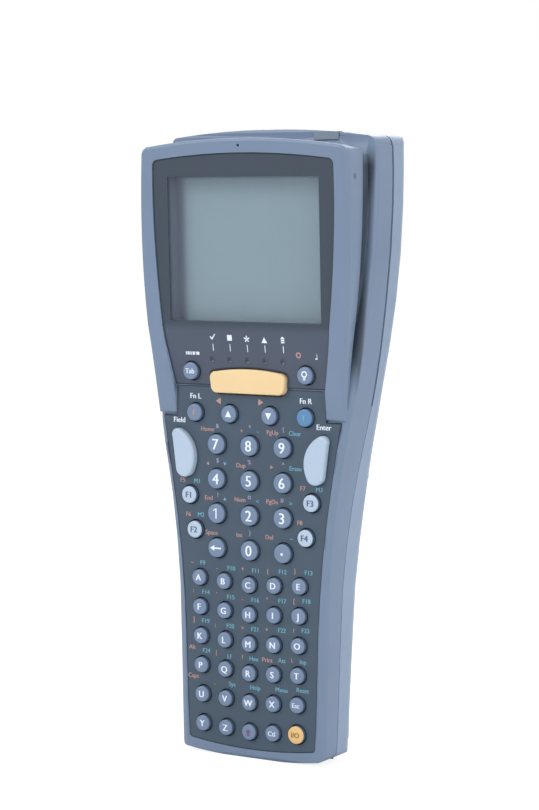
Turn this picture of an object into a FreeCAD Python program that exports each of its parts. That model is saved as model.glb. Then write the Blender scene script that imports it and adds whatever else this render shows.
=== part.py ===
"""A hand-held data terminal for reading bar codes.

Millimetres. The terminal stands on its bottom end: +Z runs up its length, the screen and
keys face -Y, and +X is on the right of someone who looks at the screen. The origin is the
centre of the bounding box's underside. A depth is counted back from the foremost edge.
"""

import FreeCAD
import Part
import math
import os

from FreeCAD import Vector

# Overall sizes
total_height = 236.0
total_depth = 46.0
wall = 2.2
front_wall = 2.6
fit_gap = 0.3
key_gap = 0.35

# Heights in the head are shares of the way from its start up to the top
head_start = 165.0
head_reach = total_height - head_start
cut_reach = 60.0
cut_spare = 5.0

# Casing, at heights up its length: half width, depth of the front, of the joint and of the back
rim_depth = 6.6
casing_stations = (
    (-2.0, 31.4, rim_depth, 15.9, 28.5),
    (30.0, 32.1, rim_depth, 17.2, 30.3),
    (65.0, 32.8, rim_depth, 18.4, 32.5),
    (98.0, 36.0, rim_depth, 20.3, 34.2),
    (118.0, 39.4, rim_depth, 22.0, 33.9),
    (130.0, 41.4, rim_depth + 0.9, 23.6, 34.2),
    (142.0, 42.6, rim_depth + 3.4, 25.9, 35.9),
    (head_start, 44.5, rim_depth + 7.9, 28.8, 39.9),
    (head_start + 0.352 * head_reach, 45.8, rim_depth + 11.7, 31.2, 42.6),
    (head_start + 0.690 * head_reach, 45.7, rim_depth + 14.0, 33.5, 44.6),
    (head_start + 1.028 * head_reach, 44.5, rim_depth + 14.6, 34.4, total_depth + 0.3),
)
section_heights = (-2.0, 15.0, 40.0, 65.0, 82.0, 98.0, 109.0, 118.0, 126.0, 134.0, 143.0, 156.0,
                   head_start + 0.10 * head_reach, head_start + 0.35 * head_reach,
                   head_start + 0.61 * head_reach, head_start + 0.80 * head_reach,
                   head_start + 1.028 * head_reach)
lean_start = 118.0
grip_back_radius = 6.0
head_back_radius = 3.6
rim_radius = 2.4
corner_chords = 3
top_drop = 2.6
top_corner = 3.5
end_edge_radius = 1.4
top_back_radius = 3.8
heel_radius = 8.8
heel_fill_depth = 23.0
inner_chamfer = 2.6
foot_flat_half = 11.0
foot_drop = 1.7
foot_corner = 3.0
joint_slit = 1.2
joint_seam = 0.3
slit_end_height = 134.0
gasket_inset = 0.9
gasket_width = 1.1

# Raised head that frames the screen
head_half_widths = (
    (129.4, 40.8), (150.0, 42.2), (head_start + 0.155 * head_reach, 44.5),
    (head_start + 0.521 * head_reach, 45.2), (head_start + 0.859 * head_reach, 44.4),
)
head_top = total_height - 3.4
head_foot_height = 129.4
head_top_drop = 2.9
head_corner = 3.2
least_corner = 0.5
head_lean = 0.033
head_bend_height = 162.5
head_bend_lean = 0.125
panel_bend_lean = 0.168
head_edge_radius = 1.1
head_draft = 1.1
head_foot_sink = 4.0
head_top_sink = 2.2
head_room_depth = 22.0

# Groove round the head, between it and the casing: how far in, and where it starts and levels out
groove_depth = 3.2
groove_start = 0.64
groove_floor = 0.82
groove_flare = 0.8
arm_inner_half = 33.0
panel_foot_height = 140.4

# Dark panel round the screen
panel_half_widths = (
    (140.4, 33.1), (152.0, 35.1), (head_start + 0.070 * head_reach, 37.1),
    (head_start + 0.437 * head_reach, 39.1), (head_start + 0.831 * head_reach, 39.3),
)
panel_top = total_height - 8.8
panel_top_drop = 2.3
panel_corner = 2.4
panel_sink = 0.5
panel_thickness = 1.5
panel_ledge = 2.0
panel_ledge_width = 2.0

# Screen
screen_width = 65.6
screen_foot = 164.7
screen_top = total_height - 17.5
window_thickness = 1.0
lcd_sink = 6.5
lcd_margin = 3.0
lcd_overlap = 2.0
lcd_thickness = 4.5
frame_wall = 1.5

# Keypad overlay, and the mat and board behind it
overlay_half_widths = ((3.4, 27.7), (40.0, 29.1), (66.0, 30.1), (98.0, 33.9), (128.6, 38.9))
overlay_sink = 0.2
overlay_thickness = 1.2
overlay_foot = 3.4
overlay_foot_drop = 1.9
overlay_corner = 1.6
overlay_ledge_width = 1.5
mat_inset = 0.8
mat_thickness = 1.2
mat_lip_width = 0.7
board_thickness = 1.6

# Keys
key_travel = 1.0
key_top_depth = 4.5
key_skirt = 1.4
mat_clearance = 0.2
number_pitch_x = 14.5
number_pitch_z = 13.11
number_top_row = 118.5
number_key_radius = 3.85
letter_pitch_x = 11.0
letter_pitch_shrink = 0.14
letter_pitch_z = 11.17
letter_shift_x = -0.4
letter_top_row = 67.4
letter_sag = 0.62
letter_key_radius = 3.25
power_key_radius = 3.6
round_key_radius = 3.5
arrow_key_x = 8.8
function_row = 130.1
function_key_x = 24.1
head_key_x = 25.0
head_key_row = 145.8
corner_keys = (("f1", -26.7, 98.7), ("f3", 26.7, 98.7), ("f2", -24.3, 85.6), ("f4", 24.3, 85.6))
thumb_key_x = 29.0
thumb_key_row = 114.7
thumb_key_height = 18.6
thumb_key_half_width = 5.0
thumb_key_tilt = 0.13
scan_bar_half_width = 16.7
scan_bar_foot = 137.8
scan_bar_height = 9.4
scan_bar_rise = 1.3
scan_bar_taper = 1.9
scan_bar_proud = 2.6
scan_bar_edge = 0.5

# Indicator lights
light_count = 5
light_pitch = 7.7
light_row = 150.3
light_radius = 1.15
light_length = 4.2

# Battery, its bay, its door, hinge and latch
battery_half_width = 20.5
battery_foot = 33.0
battery_height = 58.0
battery_front = 15.6
battery_thickness = 10.2
battery_chamfer = 1.6
bay_wall = 1.4
bay_play = 0.25
door_half_width = 23.0
door_foot = 27.6
door_seat_depth = 22.4
hinge_height = 96.5
hinge_inset = 1.6
hinge_barrel_radius = 2.6
hinge_pin_radius = 1.1
hinge_running_gap = 0.05
hinge_ear_width = 4.0
latch_half_width = 8.0
latch_height = 13.0
latch_thickness = 1.5
latch_travel = 2.2
latch_tongue_half_width = 5.0
latch_tongue_length = 2.0
latch_guide_width = 1.2
latch_thumb_half_width = 5.5
latch_thumb_height = 6.0
latch_thumb_proud = 1.3

# Black block with the charging pads, low on the back
block_half_width = 29.3
block_foot = 7.0
block_top = 25.6
block_depth = 5.0
block_proud = 0.8
pad_count = 5
pad_pitch = 6.0
pad_width = 3.0
pad_height = 7.0
pad_thickness = 0.5

# Scanner at the top end
scan_window_half_width = 18.0
scan_window_front = 23.8
scan_window_depth = 7.8
scan_window_sink = 1.0
scan_window_rim = 1.0
scan_window_thickness = 1.6
engine_half_width = 17.0
engine_front = 23.8
engine_height = 19.0

# Main board and what stands on it
main_board_depth = 32.0
main_board_half_width = 32.0
main_board_foot = 152.0
main_board_top = total_height - 8.0
board_post_radius = 2.6
board_post_x = 28.0
cell_radius = 8.0
cell_x = 14.0
cell_thickness = 3.2
cell_height = 172.0
antenna_width = 30.0
antenna_height = 7.0
antenna_thickness = 1.2
antenna_top = 190.0
sounder_radius = 3.3
sounder_drop = 3.1
sounder_thickness = 3.0
sound_hole_radius = 0.55
sound_hole_x = -1.0
sound_hole_height = total_height - 6.2

# Screws that hold the casing halves together
screw_radius = 1.45
screw_hole_radius = 1.6
screw_head_radius = 2.7
screw_head_thickness = 2.0
screw_head_sink = 1.2
screw_boss_radius = 3.3
screw_rows = (107.0, total_height - 11.5)
screw_bite = 5.4

# Small tab on the front of the top end, and the dimple on each side of the head
tab_x = 24.5
tab_half_width = 5.2
tab_height = 3.0
tab_proud = 0.5
tab_depth = 2.6
dimple_radius = 1.3
dimple_depth = 0.5
dimple_height = total_height - 20.4
dimple_from_front = 6.5

X_AXIS = Vector(1, 0, 0)
Y_AXIS = Vector(0, 1, 0)


def y_at(depth):
    """The y of a depth behind the foremost edge."""
    return depth - total_depth / 2.0


def slope_between(a, b):
    """The steepness from one station to the next."""
    return (b[1] - a[1]) / (b[0] - a[0])


def profile(stations, height, column=1):
    """The value in a column of a table, at a height, on a smooth line through its stations."""
    points = [(row[0], row[column]) for row in stations]
    last = len(points) - 1
    i = 0
    while i < last - 1 and height > points[i + 1][0]:
        i += 1

    def tangent(k):
        if k == 0 or k == last:
            return slope_between(points[max(k - 1, 0)], points[min(k + 1, last)])
        before = points[k][0] - points[k - 1][0]
        after = points[k + 1][0] - points[k][0]
        return (after * slope_between(points[k - 1], points[k])
                + before * slope_between(points[k], points[k + 1])) / (before + after)

    run = points[i + 1][0] - points[i][0]
    rise = points[i + 1][1] - points[i][1]
    t = (height - points[i][0]) / run
    start, end = tangent(i) * run, tangent(i + 1) * run
    curve = (start + end - 2.0 * rise) * t ** 3 + (3.0 * rise - 2.0 * start - end) * t ** 2
    return points[i][1] + start * t + curve


def half_width_at(height):
    return profile(casing_stations, height, 1)


def front_at(height):
    """Depth of the casing's front: level along the grip, then leaning back behind the head."""
    if height <= lean_start:
        return rim_depth
    return max(profile(casing_stations, height, 2), rim_depth)


def joint_at(height):
    return profile(casing_stations, height, 3)


def back_at(height):
    return profile(casing_stations, height, 4)


def bent_depth(height, lean):
    """Depth of a face that leans back a little, and by the given lean below the screen."""
    bend_depth = (head_top - head_bend_height) * head_lean
    if height >= head_bend_height:
        return (head_top - height) * head_lean
    return bend_depth + (head_bend_height - height) * lean


def head_face_at(height):
    return bent_depth(height, head_bend_lean)


def panel_face_at(height):
    return bent_depth(height, panel_bend_lean) + panel_sink


def box(x0, x1, d0, d1, z0, z1):
    """A block between two x, two depths and two heights."""
    return Part.makeBox(x1 - x0, d1 - d0, z1 - z0, Vector(x0, y_at(d0), z0))


def rod(radius, x, depth, height, length, axis=Y_AXIS):
    """A round bar that starts at a point and runs along an axis."""
    return Part.makeCylinder(radius, length, Vector(x, y_at(depth), height), axis)


def bar(sides, radius, x, depth, height, length):
    """A bar of many flat sides that starts at a point and runs straight back."""
    turns = [2.0 * math.pi * (i + 0.5) / sides for i in range(sides)]
    points = [Vector(x + radius * math.cos(t), y_at(depth), height + radius * math.sin(t))
              for t in turns]
    return Part.Face(Part.makePolygon(points + points[:1])).extrude(Vector(0, length, 0))


def arc(a, b, c):
    return Part.Arc(a, b, c).toShape()


def line(a, b):
    return Part.LineSegment(a, b).toShape()


def smooth(points):
    curve = Part.BSplineCurve()
    curve.interpolate(points)
    return curve.toShape()


def mirrored(points):
    return [Vector(-p.x, p.y, p.z) for p in reversed(points)]


def casing_section(height, grow):
    """A round-cornered level section of the casing, grown outwards or shrunk."""
    w = half_width_at(height) + grow
    f = y_at(front_at(height)) - grow
    b = y_at(back_at(height)) + grow
    share = min(max((height - lean_start) / (total_height - lean_start), 0.0), 1.0)
    rf = rim_radius
    rb = grip_back_radius + (head_back_radius - grip_back_radius) * share
    corners = ((w - rf, f + rf, rf), (w - rb, b - rb, rb), (rb - w, b - rb, rb), (rf - w, f + rf, rf))
    points = []
    for i, (x, y, radius) in enumerate(corners):
        for j in range(corner_chords + 1):
            turn = math.pi / 2.0 * (i - 1 + j / corner_chords)
            points.append(Vector(x + radius * math.cos(turn), y + radius * math.sin(turn), height))
    return Part.makePolygon(points + points[:1])


def end_outline(grow):
    """The casing's front view: an arched top and a foot that is flat in the middle."""
    wide = cut_reach
    top = total_height + grow
    side = half_width_at(total_height) + grow
    shoulder = top - top_drop
    r = top_corner
    k = r * (1.0 - math.sqrt(0.5))
    y = y_at(-5.0)
    foot_side = half_width_at(0.0) + grow
    foot = -grow

    def at(x, z):
        return Vector(x, y, z)

    right = [
        at(side - r, shoulder), at(side - k, shoulder - k), at(side, shoulder - r),
        at(wide, shoulder - r - 8.0), at(wide, foot + foot_drop + foot_corner + 2.0),
        at(foot_side, foot + foot_drop + foot_corner),
        at(foot_side - foot_corner * 0.25, foot + foot_drop + foot_corner * 0.35),
        at(foot_side - foot_corner, foot + foot_drop), at(foot_flat_half, foot),
    ]
    middle = at((foot_flat_half + foot_side - foot_corner) / 2.0, foot + foot_drop * 0.4)
    left = [Vector(-p.x, p.y, p.z) for p in right]
    edges = [
        arc(left[0], at(0.0, top), right[0]),
        arc(right[0], right[1], right[2]),
        line(right[2], right[3]),
        line(right[3], right[4]),
        line(right[4], right[5]),
        arc(right[5], right[6], right[7]),
        arc(right[7], middle, right[8]),
        line(right[8], left[8]),
        arc(left[8], Vector(-middle.x, middle.y, middle.z), left[7]),
        arc(left[7], left[6], left[5]),
        line(left[5], left[4]),
        line(left[4], left[3]),
        line(left[3], left[2]),
        arc(left[2], left[1], left[0]),
    ]
    face = Part.Face(Part.Wire(edges))
    return face.extrude(Vector(0, total_depth + 10.0, 0))


def side_outline(grow):
    """The casing's side view: round edges at both ends, and a larger round at the heel."""
    top = total_height + grow
    front = front_at(total_height) - grow
    back = back_at(total_height) + grow
    heel = back_at(heel_radius) + grow
    far = total_depth + 10.0
    toe = rim_depth - grow

    def at(depth, z):
        return Vector(-cut_reach, y_at(depth), z)

    def bend(depth, z, along, up, radius):
        """The middle of a quarter round that fills a corner."""
        k = radius * (1.0 - math.sqrt(0.5))
        return at(depth + along * k, z + up * k)

    e, h, b = end_edge_radius, heel_radius, top_back_radius
    low = -grow
    wire = Part.Wire([
        line(at(-10.0, top - 2.0 * e), at(front, top - 2.0 * e)),
        line(at(front, top - 2.0 * e), at(front, top - e)),
        arc(at(front, top - e), bend(front, top, 1, -1, e), at(front + e, top)),
        line(at(front + e, top), at(back - b, top)),
        arc(at(back - b, top), bend(back, top, -1, -1, b), at(back, top - b)),
        line(at(back, top - b), at(far, top - 2.0 * b)),
        line(at(far, top - 2.0 * b), at(far, h + 2.0)),
        line(at(far, h + 2.0), at(heel, h + low)),
        arc(at(heel, h + low), bend(heel, low, -1, 1, h), at(heel - h, low)),
        line(at(heel - h, low), at(toe + e, low)),
        arc(at(toe + e, low), bend(toe, low, 1, 1, e), at(toe, low + e)),
        line(at(toe, low + e), at(-10.0, low + 2.0 * e)),
        line(at(-10.0, low + 2.0 * e), at(-10.0, top - 2.0 * e)),
    ])
    return Part.Face(wire).extrude(Vector(2.0 * cut_reach, 0, 0))


def casing_body(grow):
    """The whole casing as one solid, grown outwards or shrunk inwards."""
    body = Part.makeLoft([casing_section(z, grow) for z in section_heights], True, True)
    return body.common(end_outline(grow)).common(side_outline(grow))


def hollow_section(height, inset, front_inset):
    """A level section of the casing's hollow, with its back corners cut off."""
    w = half_width_at(height) - inset
    f = y_at(front_at(height) + front_inset)
    b = y_at(back_at(height) - inset)
    c = inner_chamfer
    places = ((-w, f), (w, f), (w, b - c), (w - c, b), (-w + c, b), (-w, b - c), (-w, f))
    return Part.makePolygon([Vector(x, y, height) for x, y in places])


def casing_hollow(inset, front_inset):
    """The room inside the closed casing."""
    inner = [row[0] for row in casing_stations[1:-1]]
    heights = [inset] + inner + [total_height - top_drop - inset]
    room = Part.makeLoft([hollow_section(z, inset, front_inset) for z in heights], True, True)
    heel = box(-cut_reach, cut_reach, heel_fill_depth, total_depth, -cut_spare, door_foot - 0.4)
    return room.cut(heel)


def joint_sheet(shift, front):
    """Everything in front of, or behind, the curved joint between the casing halves."""
    heights = [row[0] for row in casing_stations]
    heights[0] -= 2.0
    heights[-1] += 3.0
    points = [Vector(-cut_reach, y_at(row[3] + shift), z) for row, z in zip(casing_stations, heights)]
    low, high = heights[0], heights[-1]
    far = y_at(-10.0) if front else y_at(total_depth + 10.0)
    wire = Part.Wire([
        smooth(points),
        line(points[-1], Vector(-cut_reach, far, high)),
        line(Vector(-cut_reach, far, high), Vector(-cut_reach, far, low)),
        line(Vector(-cut_reach, far, low), points[0]),
    ])
    return Part.Face(wire).extrude(Vector(2.0 * cut_reach, 0, 0))


def upright_outline(stations, top, drop, corner, foot, face_at, grow):
    """A front-view outline with an arched top, curved sides and a straight foot, on a bent face."""
    def at(x, z):
        return Vector(x, y_at(face_at(z)), z)

    shoulder = top + grow - drop
    r = max(corner + grow, least_corner)
    k = r * (1.0 - math.sqrt(0.5))
    side_top = shoulder - r
    side = profile(stations, min(side_top, stations[-1][0])) + grow
    low = foot - grow

    def run(start, end):
        """Points down the right side between two heights."""
        count = 3
        heights = [start + (end - start) * i / count for i in range(count + 1)]
        return [at(profile(stations, z) + grow, z) for z in heights]

    upper, lower = run(side_top, head_bend_height), run(head_bend_height, low)
    upper[0] = at(side, side_top)
    edges = [
        arc(at(-side + r, shoulder), at(0.0, top + grow), at(side - r, shoulder)),
        arc(at(side - r, shoulder), at(side - k, shoulder - k), at(side, side_top)),
        smooth(upper),
        smooth(lower),
        line(lower[-1], mirrored(lower)[0]),
        smooth(mirrored(lower)),
        smooth(mirrored(upper)),
        arc(at(-side, side_top), at(-side + k, shoulder - k), at(-side + r, shoulder)),
    ]
    return Part.Wire(edges)


def head_wire(share, grow, sink=0.0):
    """The head's outline at a share of the way back from its face to the casing's front."""
    foot_depth = front_at(head_foot_height) + head_foot_sink
    top_depth = front_at(head_top) + head_top_sink
    lean = (foot_depth - top_depth) / (head_top - head_foot_height)

    def face_at(z):
        back = foot_depth - lean * (z - head_foot_height)
        return head_face_at(z) * (1.0 - share) + back * share + sink

    return upright_outline(head_half_widths, head_top, head_top_drop, head_corner,
                           head_foot_height, face_at, grow)


def flat_outline(stations, top, drop, corner, foot, grow):
    """The same outline, flat and a little in front of everything."""
    return upright_outline(stations, top, drop, corner, foot, lambda z: -cut_spare, grow)


def face_slab(face_at, shift, thickness):
    """A bent slab whose front follows a face, a shift behind it."""
    heights = (total_height + cut_spare, head_bend_height, -cut_spare)
    front = [Vector(-cut_reach, y_at(face_at(z) + shift), z) for z in heights]
    back = [p + Vector(0, thickness, 0) for p in reversed(front)]
    return Part.Face(Part.makePolygon(front + back + front[:1])).extrude(Vector(2.0 * cut_reach, 0, 0))


def raised_head():
    """The head's outer form: a rounded front edge, sides with a little draft, and a groove behind."""
    r = head_edge_radius
    k = r * (1.0 - math.sqrt(0.5))
    start = flat_outline(head_half_widths, head_top, head_top_drop, head_corner, head_foot_height, -r)
    form = Part.makeLoft([
        start, head_wire(0.0, -r), head_wire(0.0, -k, k), head_wire(0.0, 0.0, r),
        head_wire(groove_start, -head_draft), head_wire(groove_floor, -groove_depth),
        head_wire(1.0, groove_flare - groove_depth),
    ], True, True)
    return form.cut(face_slab(head_face_at, -total_depth, total_depth))


def plate_from(wire, thickness):
    return Part.Face(wire).extrude(Vector(0, thickness, 0))


def panel_plate(shift, grow, thickness):
    """The panel's shape, from a shift behind its face and of a thickness."""
    outline = flat_outline(panel_half_widths, panel_top, panel_top_drop, panel_corner,
                           panel_foot_height, grow)
    return plate_from(outline, total_depth).common(face_slab(panel_face_at, shift, thickness))


def overlay_wire(depth, grow):
    """Outline of the keypad overlay: wide shoulders under the head's arms, and an arched foot."""
    shoulder = overlay_half_widths[-1][0] + grow
    top = panel_foot_height - 0.2 + min(grow, 0.0)
    neck = arm_inner_half - 0.3 + grow
    low = overlay_foot - grow
    corner_z = low + overlay_foot_drop + overlay_corner

    def at(x, z):
        return Vector(x, y_at(depth), z)

    count = 5
    heights = [corner_z + (shoulder - corner_z) * i / count for i in range(count + 1)]
    right = [at(profile(overlay_half_widths, z) + grow, z) for z in heights]
    start = right[0]
    foot_right = at(start.x - overlay_corner, low + overlay_foot_drop)
    k = overlay_corner * (1.0 - math.sqrt(0.5))
    bend = at(start.x - k, low + overlay_foot_drop + k)

    def flip(p):
        return Vector(-p.x, p.y, p.z)

    return Part.Wire([
        arc(flip(foot_right), at(0.0, low), foot_right),
        arc(foot_right, bend, start),
        smooth(right),
        line(right[-1], at(neck, shoulder)),
        line(at(neck, shoulder), at(neck, top)),
        line(at(neck, top), at(-neck, top)),
        line(at(-neck, top), at(-neck, shoulder)),
        line(at(-neck, shoulder), flip(right[-1])),
        smooth(mirrored(right)),
        arc(flip(start), flip(bend), flip(foot_right)),
    ])


def thumb_outline(side, grow, depth):
    """A tall key with a straight outer side and an inner side that bulges, as a flat outline."""
    h = thumb_key_height / 2.0 + grow
    w = thumb_key_half_width + grow

    def at(u, v):
        x = side * (thumb_key_x + u * w + thumb_key_tilt * v * h)
        return Vector(x, y_at(depth), thumb_key_row + v * h)

    return Part.Wire([
        arc(at(0.8, 0.62), at(0.52, 0.95), at(0.0, 0.93)),
        arc(at(0.0, 0.93), at(-0.98, 0.1), at(-0.6, -0.72)),
        arc(at(-0.6, -0.72), at(0.1, -1.0), at(0.8, -0.7)),
        line(at(0.8, -0.7), at(0.8, 0.62)),
    ])


def scan_bar_outline(grow, depth):
    """The scan bar's outline: an arched top, round corners and sides that draw in at the foot."""
    w = scan_bar_half_width + grow
    low = scan_bar_foot - grow
    high = scan_bar_foot + scan_bar_height + grow
    shoulder = high - scan_bar_rise
    r = 1.6 + grow
    k = r * (1.0 - math.sqrt(0.5))
    wl = w - scan_bar_taper

    def at(x, z):
        return Vector(x, y_at(depth), z)

    return Part.Wire([
        arc(at(-w + r, shoulder), at(0.0, high), at(w - r, shoulder)),
        arc(at(w - r, shoulder), at(w - k, shoulder - k), at(w, shoulder - r)),
        line(at(w, shoulder - r), at(wl, low + r)),
        arc(at(wl, low + r), at(wl - k, low + k), at(wl - r, low)),
        line(at(wl - r, low), at(-wl + r, low)),
        arc(at(-wl + r, low), at(-wl + k, low + k), at(-wl, low + r)),
        line(at(-wl, low + r), at(-w, shoulder - r)),
        arc(at(-w, shoulder - r), at(-w + k, shoulder - k), at(-w + r, shoulder)),
    ])


overlay_front = rim_depth + overlay_sink
overlay_back = overlay_front + overlay_thickness
key_back = overlay_back + key_skirt
mat_front = key_back + key_travel + mat_clearance
mat_back = mat_front + mat_thickness
ledge_back = rim_depth + front_wall
keypad_room_back = mat_back + board_thickness + fit_gap


def round_keys():
    """Every round key as its node's name, x, height, radius and the depth of its top."""
    keys = []
    rows = (("7", "8", "9"), ("4", "5", "6"), ("1", "2", "3"), ("back", "0", "point"))
    for i, row in enumerate(rows):
        for j, name in enumerate(row):
            z = number_top_row - i * number_pitch_z
            keys.append(("key_" + name, (j - 1) * number_pitch_x, z, number_key_radius, key_top_depth))
    for name, x, z in corner_keys:
        keys.append(("key_" + name, x, z, round_key_radius, key_top_depth))
    for name, x in (("fn_left_key", -function_key_x), ("up_key", -arrow_key_x),
                    ("down_key", arrow_key_x), ("fn_right_key", function_key_x)):
        keys.append((name, x, function_row, round_key_radius, key_top_depth))
    top = panel_face_at(head_key_row) - (overlay_front - key_top_depth)
    for name, x in (("tab_key", -head_key_x), ("backlight_key", head_key_x)):
        keys.append((name, x, head_key_row, round_key_radius, top))
    rows = (("letters_a_to_e", 5), ("letters_f_to_j", 5), ("letters_k_to_o", 5),
            ("letters_p_to_t", 5), ("letters_u_to_z", 4), ("letters_u_to_z", 2))
    for i, (name, count) in enumerate(rows):
        for j in range(count):
            keys.append((name,) + letter_place(i, j) + (letter_key_radius, key_top_depth))
    keys.append(("escape_key",) + letter_place(4, 4) + (letter_key_radius, key_top_depth))
    keys.append(("shift_key",) + letter_place(5, 2) + (letter_key_radius, key_top_depth))
    keys.append(("control_key",) + letter_place(5, 3) + (letter_key_radius, key_top_depth))
    keys.append(("power_key",) + letter_place(5, 4) + (power_key_radius, key_top_depth))
    return keys


def letter_place(row, column):
    """Centre of a key in the letter block: rows sag in the middle and narrow towards the foot."""
    out = abs(column - 2)
    x = letter_shift_x + (column - 2) * (letter_pitch_x - row * letter_pitch_shrink)
    return x, letter_top_row - row * letter_pitch_z - (2 - out) * letter_sag


def key_sides(radius):
    return 16 if radius > letter_key_radius else 12


def round_key(x, z, radius, top):
    """A round key's cap, which stands on the mat behind the overlay."""
    return bar(key_sides(radius), radius, x, top, z, key_back - top)


def key_holes(grow):
    """Bars that cut the openings for all keys through whatever lies in front of their backs."""
    bars = [bar(key_sides(r), r + grow, x, -2.0, z, key_back + 2.0)
            for _, x, z, r, _ in round_keys()]
    reach = Vector(0, key_back + 2.0, 0)
    for side in (-1, 1):
        bars.append(Part.Face(thumb_outline(side, grow, -2.0)).extrude(reach))
    bars.append(Part.Face(scan_bar_outline(grow, -2.0)).extrude(reach))
    return bars


def thumb_key(side):
    top = key_top_depth - 0.3
    return Part.Face(thumb_outline(side, 0.0, top)).extrude(Vector(0, key_back - top, 0))


def scan_bar():
    """The wide key across the step between the head and the keypad."""
    top = panel_face_at(panel_foot_height) - scan_bar_proud
    e = scan_bar_edge
    return Part.makeLoft([scan_bar_outline(-e, top), scan_bar_outline(0.0, top + e),
                          scan_bar_outline(0.0, key_back)], True, True)


def half_of_casing(front):
    """One half of the casing as a solid, cut back along the slit and along the fine seam."""
    sign = -1.0 if front else 1.0
    upper = box(-cut_reach, cut_reach, -cut_spare, total_depth + cut_spare, slit_end_height,
                total_height + cut_spare)
    lower = box(-cut_reach, cut_reach, -cut_spare, total_depth + cut_spare, -cut_spare,
                slit_end_height)
    body = casing_body(0.0)
    wide = body.common(joint_sheet(sign * joint_slit / 2.0, front)).common(upper)
    fine = body.common(joint_sheet(sign * joint_seam / 2.0, front)).common(lower)
    return wide.fuse(fine)


def front_half():
    """The front casing: a shell with the raised head, open for the screen and the keypad."""
    shell = half_of_casing(True).fuse(raised_head())
    notch = box(-arm_inner_half, arm_inner_half, -cut_spare, rim_depth, lean_start,
                panel_foot_height)
    shell = shell.cut(notch).cut(casing_hollow(wall, front_wall)).cut(head_hollow())
    shell = shell.cut(panel_plate(-cut_spare, 0.0, panel_thickness + cut_spare))
    shell = shell.cut(plate_from(overlay_wire(rim_depth - 3.0, 0.0), overlay_back - rim_depth + 3.0))
    shell = shell.cut(plate_from(overlay_wire(0.0, -overlay_ledge_width), ledge_back + 0.1))
    shell = shell.cut(mat_area(ledge_back, keypad_room_back - ledge_back, -fit_gap))
    bar_room = Part.Face(scan_bar_outline(2.0 * key_gap, 0.0))
    shell = shell.cut(bar_room.extrude(Vector(0, ledge_back + 4.0, 0)))
    for x in (-head_key_x, head_key_x):
        shell = shell.cut(bar(16, round_key_radius + 2.0 * key_gap, x, 0.0, head_key_row, 12.0))
    for x, z in screw_places():
        shell = shell.fuse(front_boss(x, z)).cut(screw_pilot(x, z))
    shell = shell.cut(bar(8, sound_hole_radius, sound_hole_x, -2.0, sound_hole_height, 8.0))
    shell = shell.cut(scan_window_hole()).cut(top_tab(0.0))
    for side in (-1, 1):
        shell = shell.cut(side_dimple(side))
    return shell.removeSplitter()


def head_hollow():
    """The room behind the panel, open to the casing's own hollow, and the panel's window."""
    plate = panel_thickness + panel_ledge
    inset = groove_depth + wall
    low = panel_foot_height + wall
    stations = [row[0] for row in head_half_widths[2:-1]] + [head_top - head_top_drop - inset]
    right = [(profile(head_half_widths, z) - inset, z) for z in [low] + stations]
    outline = right + [(0.0, head_top - inset)] + [(-x, z) for x, z in reversed(right)]
    points = [Vector(x, y_at(-cut_spare), z) for x, z in outline]
    room = plate_from(Part.makePolygon(points + points[:1]), total_depth)
    room = room.common(face_slab(panel_face_at, plate, head_room_depth))
    window = panel_plate(0.0, -panel_ledge_width, plate)
    above = box(-cut_reach, cut_reach, -cut_spare, total_depth, low, head_top)
    return room.fuse(window.common(above)).fuse(sounder_room())


def screw_places():
    places = []
    for z in screw_rows:
        x = half_width_at(z) - wall - screw_boss_radius + 0.6
        places += [(-x, z), (x, z)]
    return places


def front_boss(x, z):
    """A boss on the side wall that a casing screw bites into."""
    start = joint_at(z) - joint_slit - screw_bite
    return bar(12, screw_boss_radius, x, start, z, screw_bite)


def screw_pilot(x, z):
    start = joint_at(z) - joint_slit - screw_bite + 1.0
    return bar(12, screw_radius + 0.1, x, start, z, screw_bite + 6.0)


def screw_head_depth(z):
    return back_at(z) - screw_head_sink - screw_head_thickness


def casing_screws():
    screws = []
    for x, z in screw_places():
        head_front = screw_head_depth(z)
        start = joint_at(z) - joint_slit - screw_bite + 1.5
        shank = bar(12, screw_radius, x, start, z, head_front - start)
        head = bar(12, screw_head_radius, x, head_front, z, screw_head_thickness)
        screws.append(shank.fuse(head).removeSplitter())
    return Part.makeCompound(screws)


def back_half():
    """The back casing: a shell with the battery bay, screw posts and board posts."""
    shell = half_of_casing(False).cut(casing_hollow(wall, front_wall))
    for x, z in screw_places():
        shell = shell.fuse(post(12, screw_boss_radius, x, joint_at(z) + joint_slit, z))
    for x, z in board_posts():
        shell = shell.fuse(post(8, board_post_radius, x, main_board_back(), z))
    shell = shell.fuse(battery_bay()).cut(bay_room()).cut(door_opening()).cut(hinge_room())
    shell = shell.cut(tongue_slot())
    for x, z in screw_places():
        shell = shell.cut(bar(12, screw_hole_radius, x, 0.0, z, total_depth + cut_spare))
        shell = shell.cut(bar(12, screw_head_radius + 0.2, x, screw_head_depth(z), z, 20.0))
    shell = shell.cut(connector_block(0.15)).cut(hinge_pin(hinge_running_gap))
    return shell.removeSplitter()


def post(sides, radius, x, start, z):
    """A post that runs from inside the casing to its back wall."""
    return bar(sides, radius, x, start, z, back_at(z) - wall / 2.0 - start)


def main_board_back():
    return main_board_depth + board_thickness


def board_posts():
    return [(x, z) for x in (-board_post_x, board_post_x)
            for z in (main_board_foot + 6.0, main_board_top - 6.0)]


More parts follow.
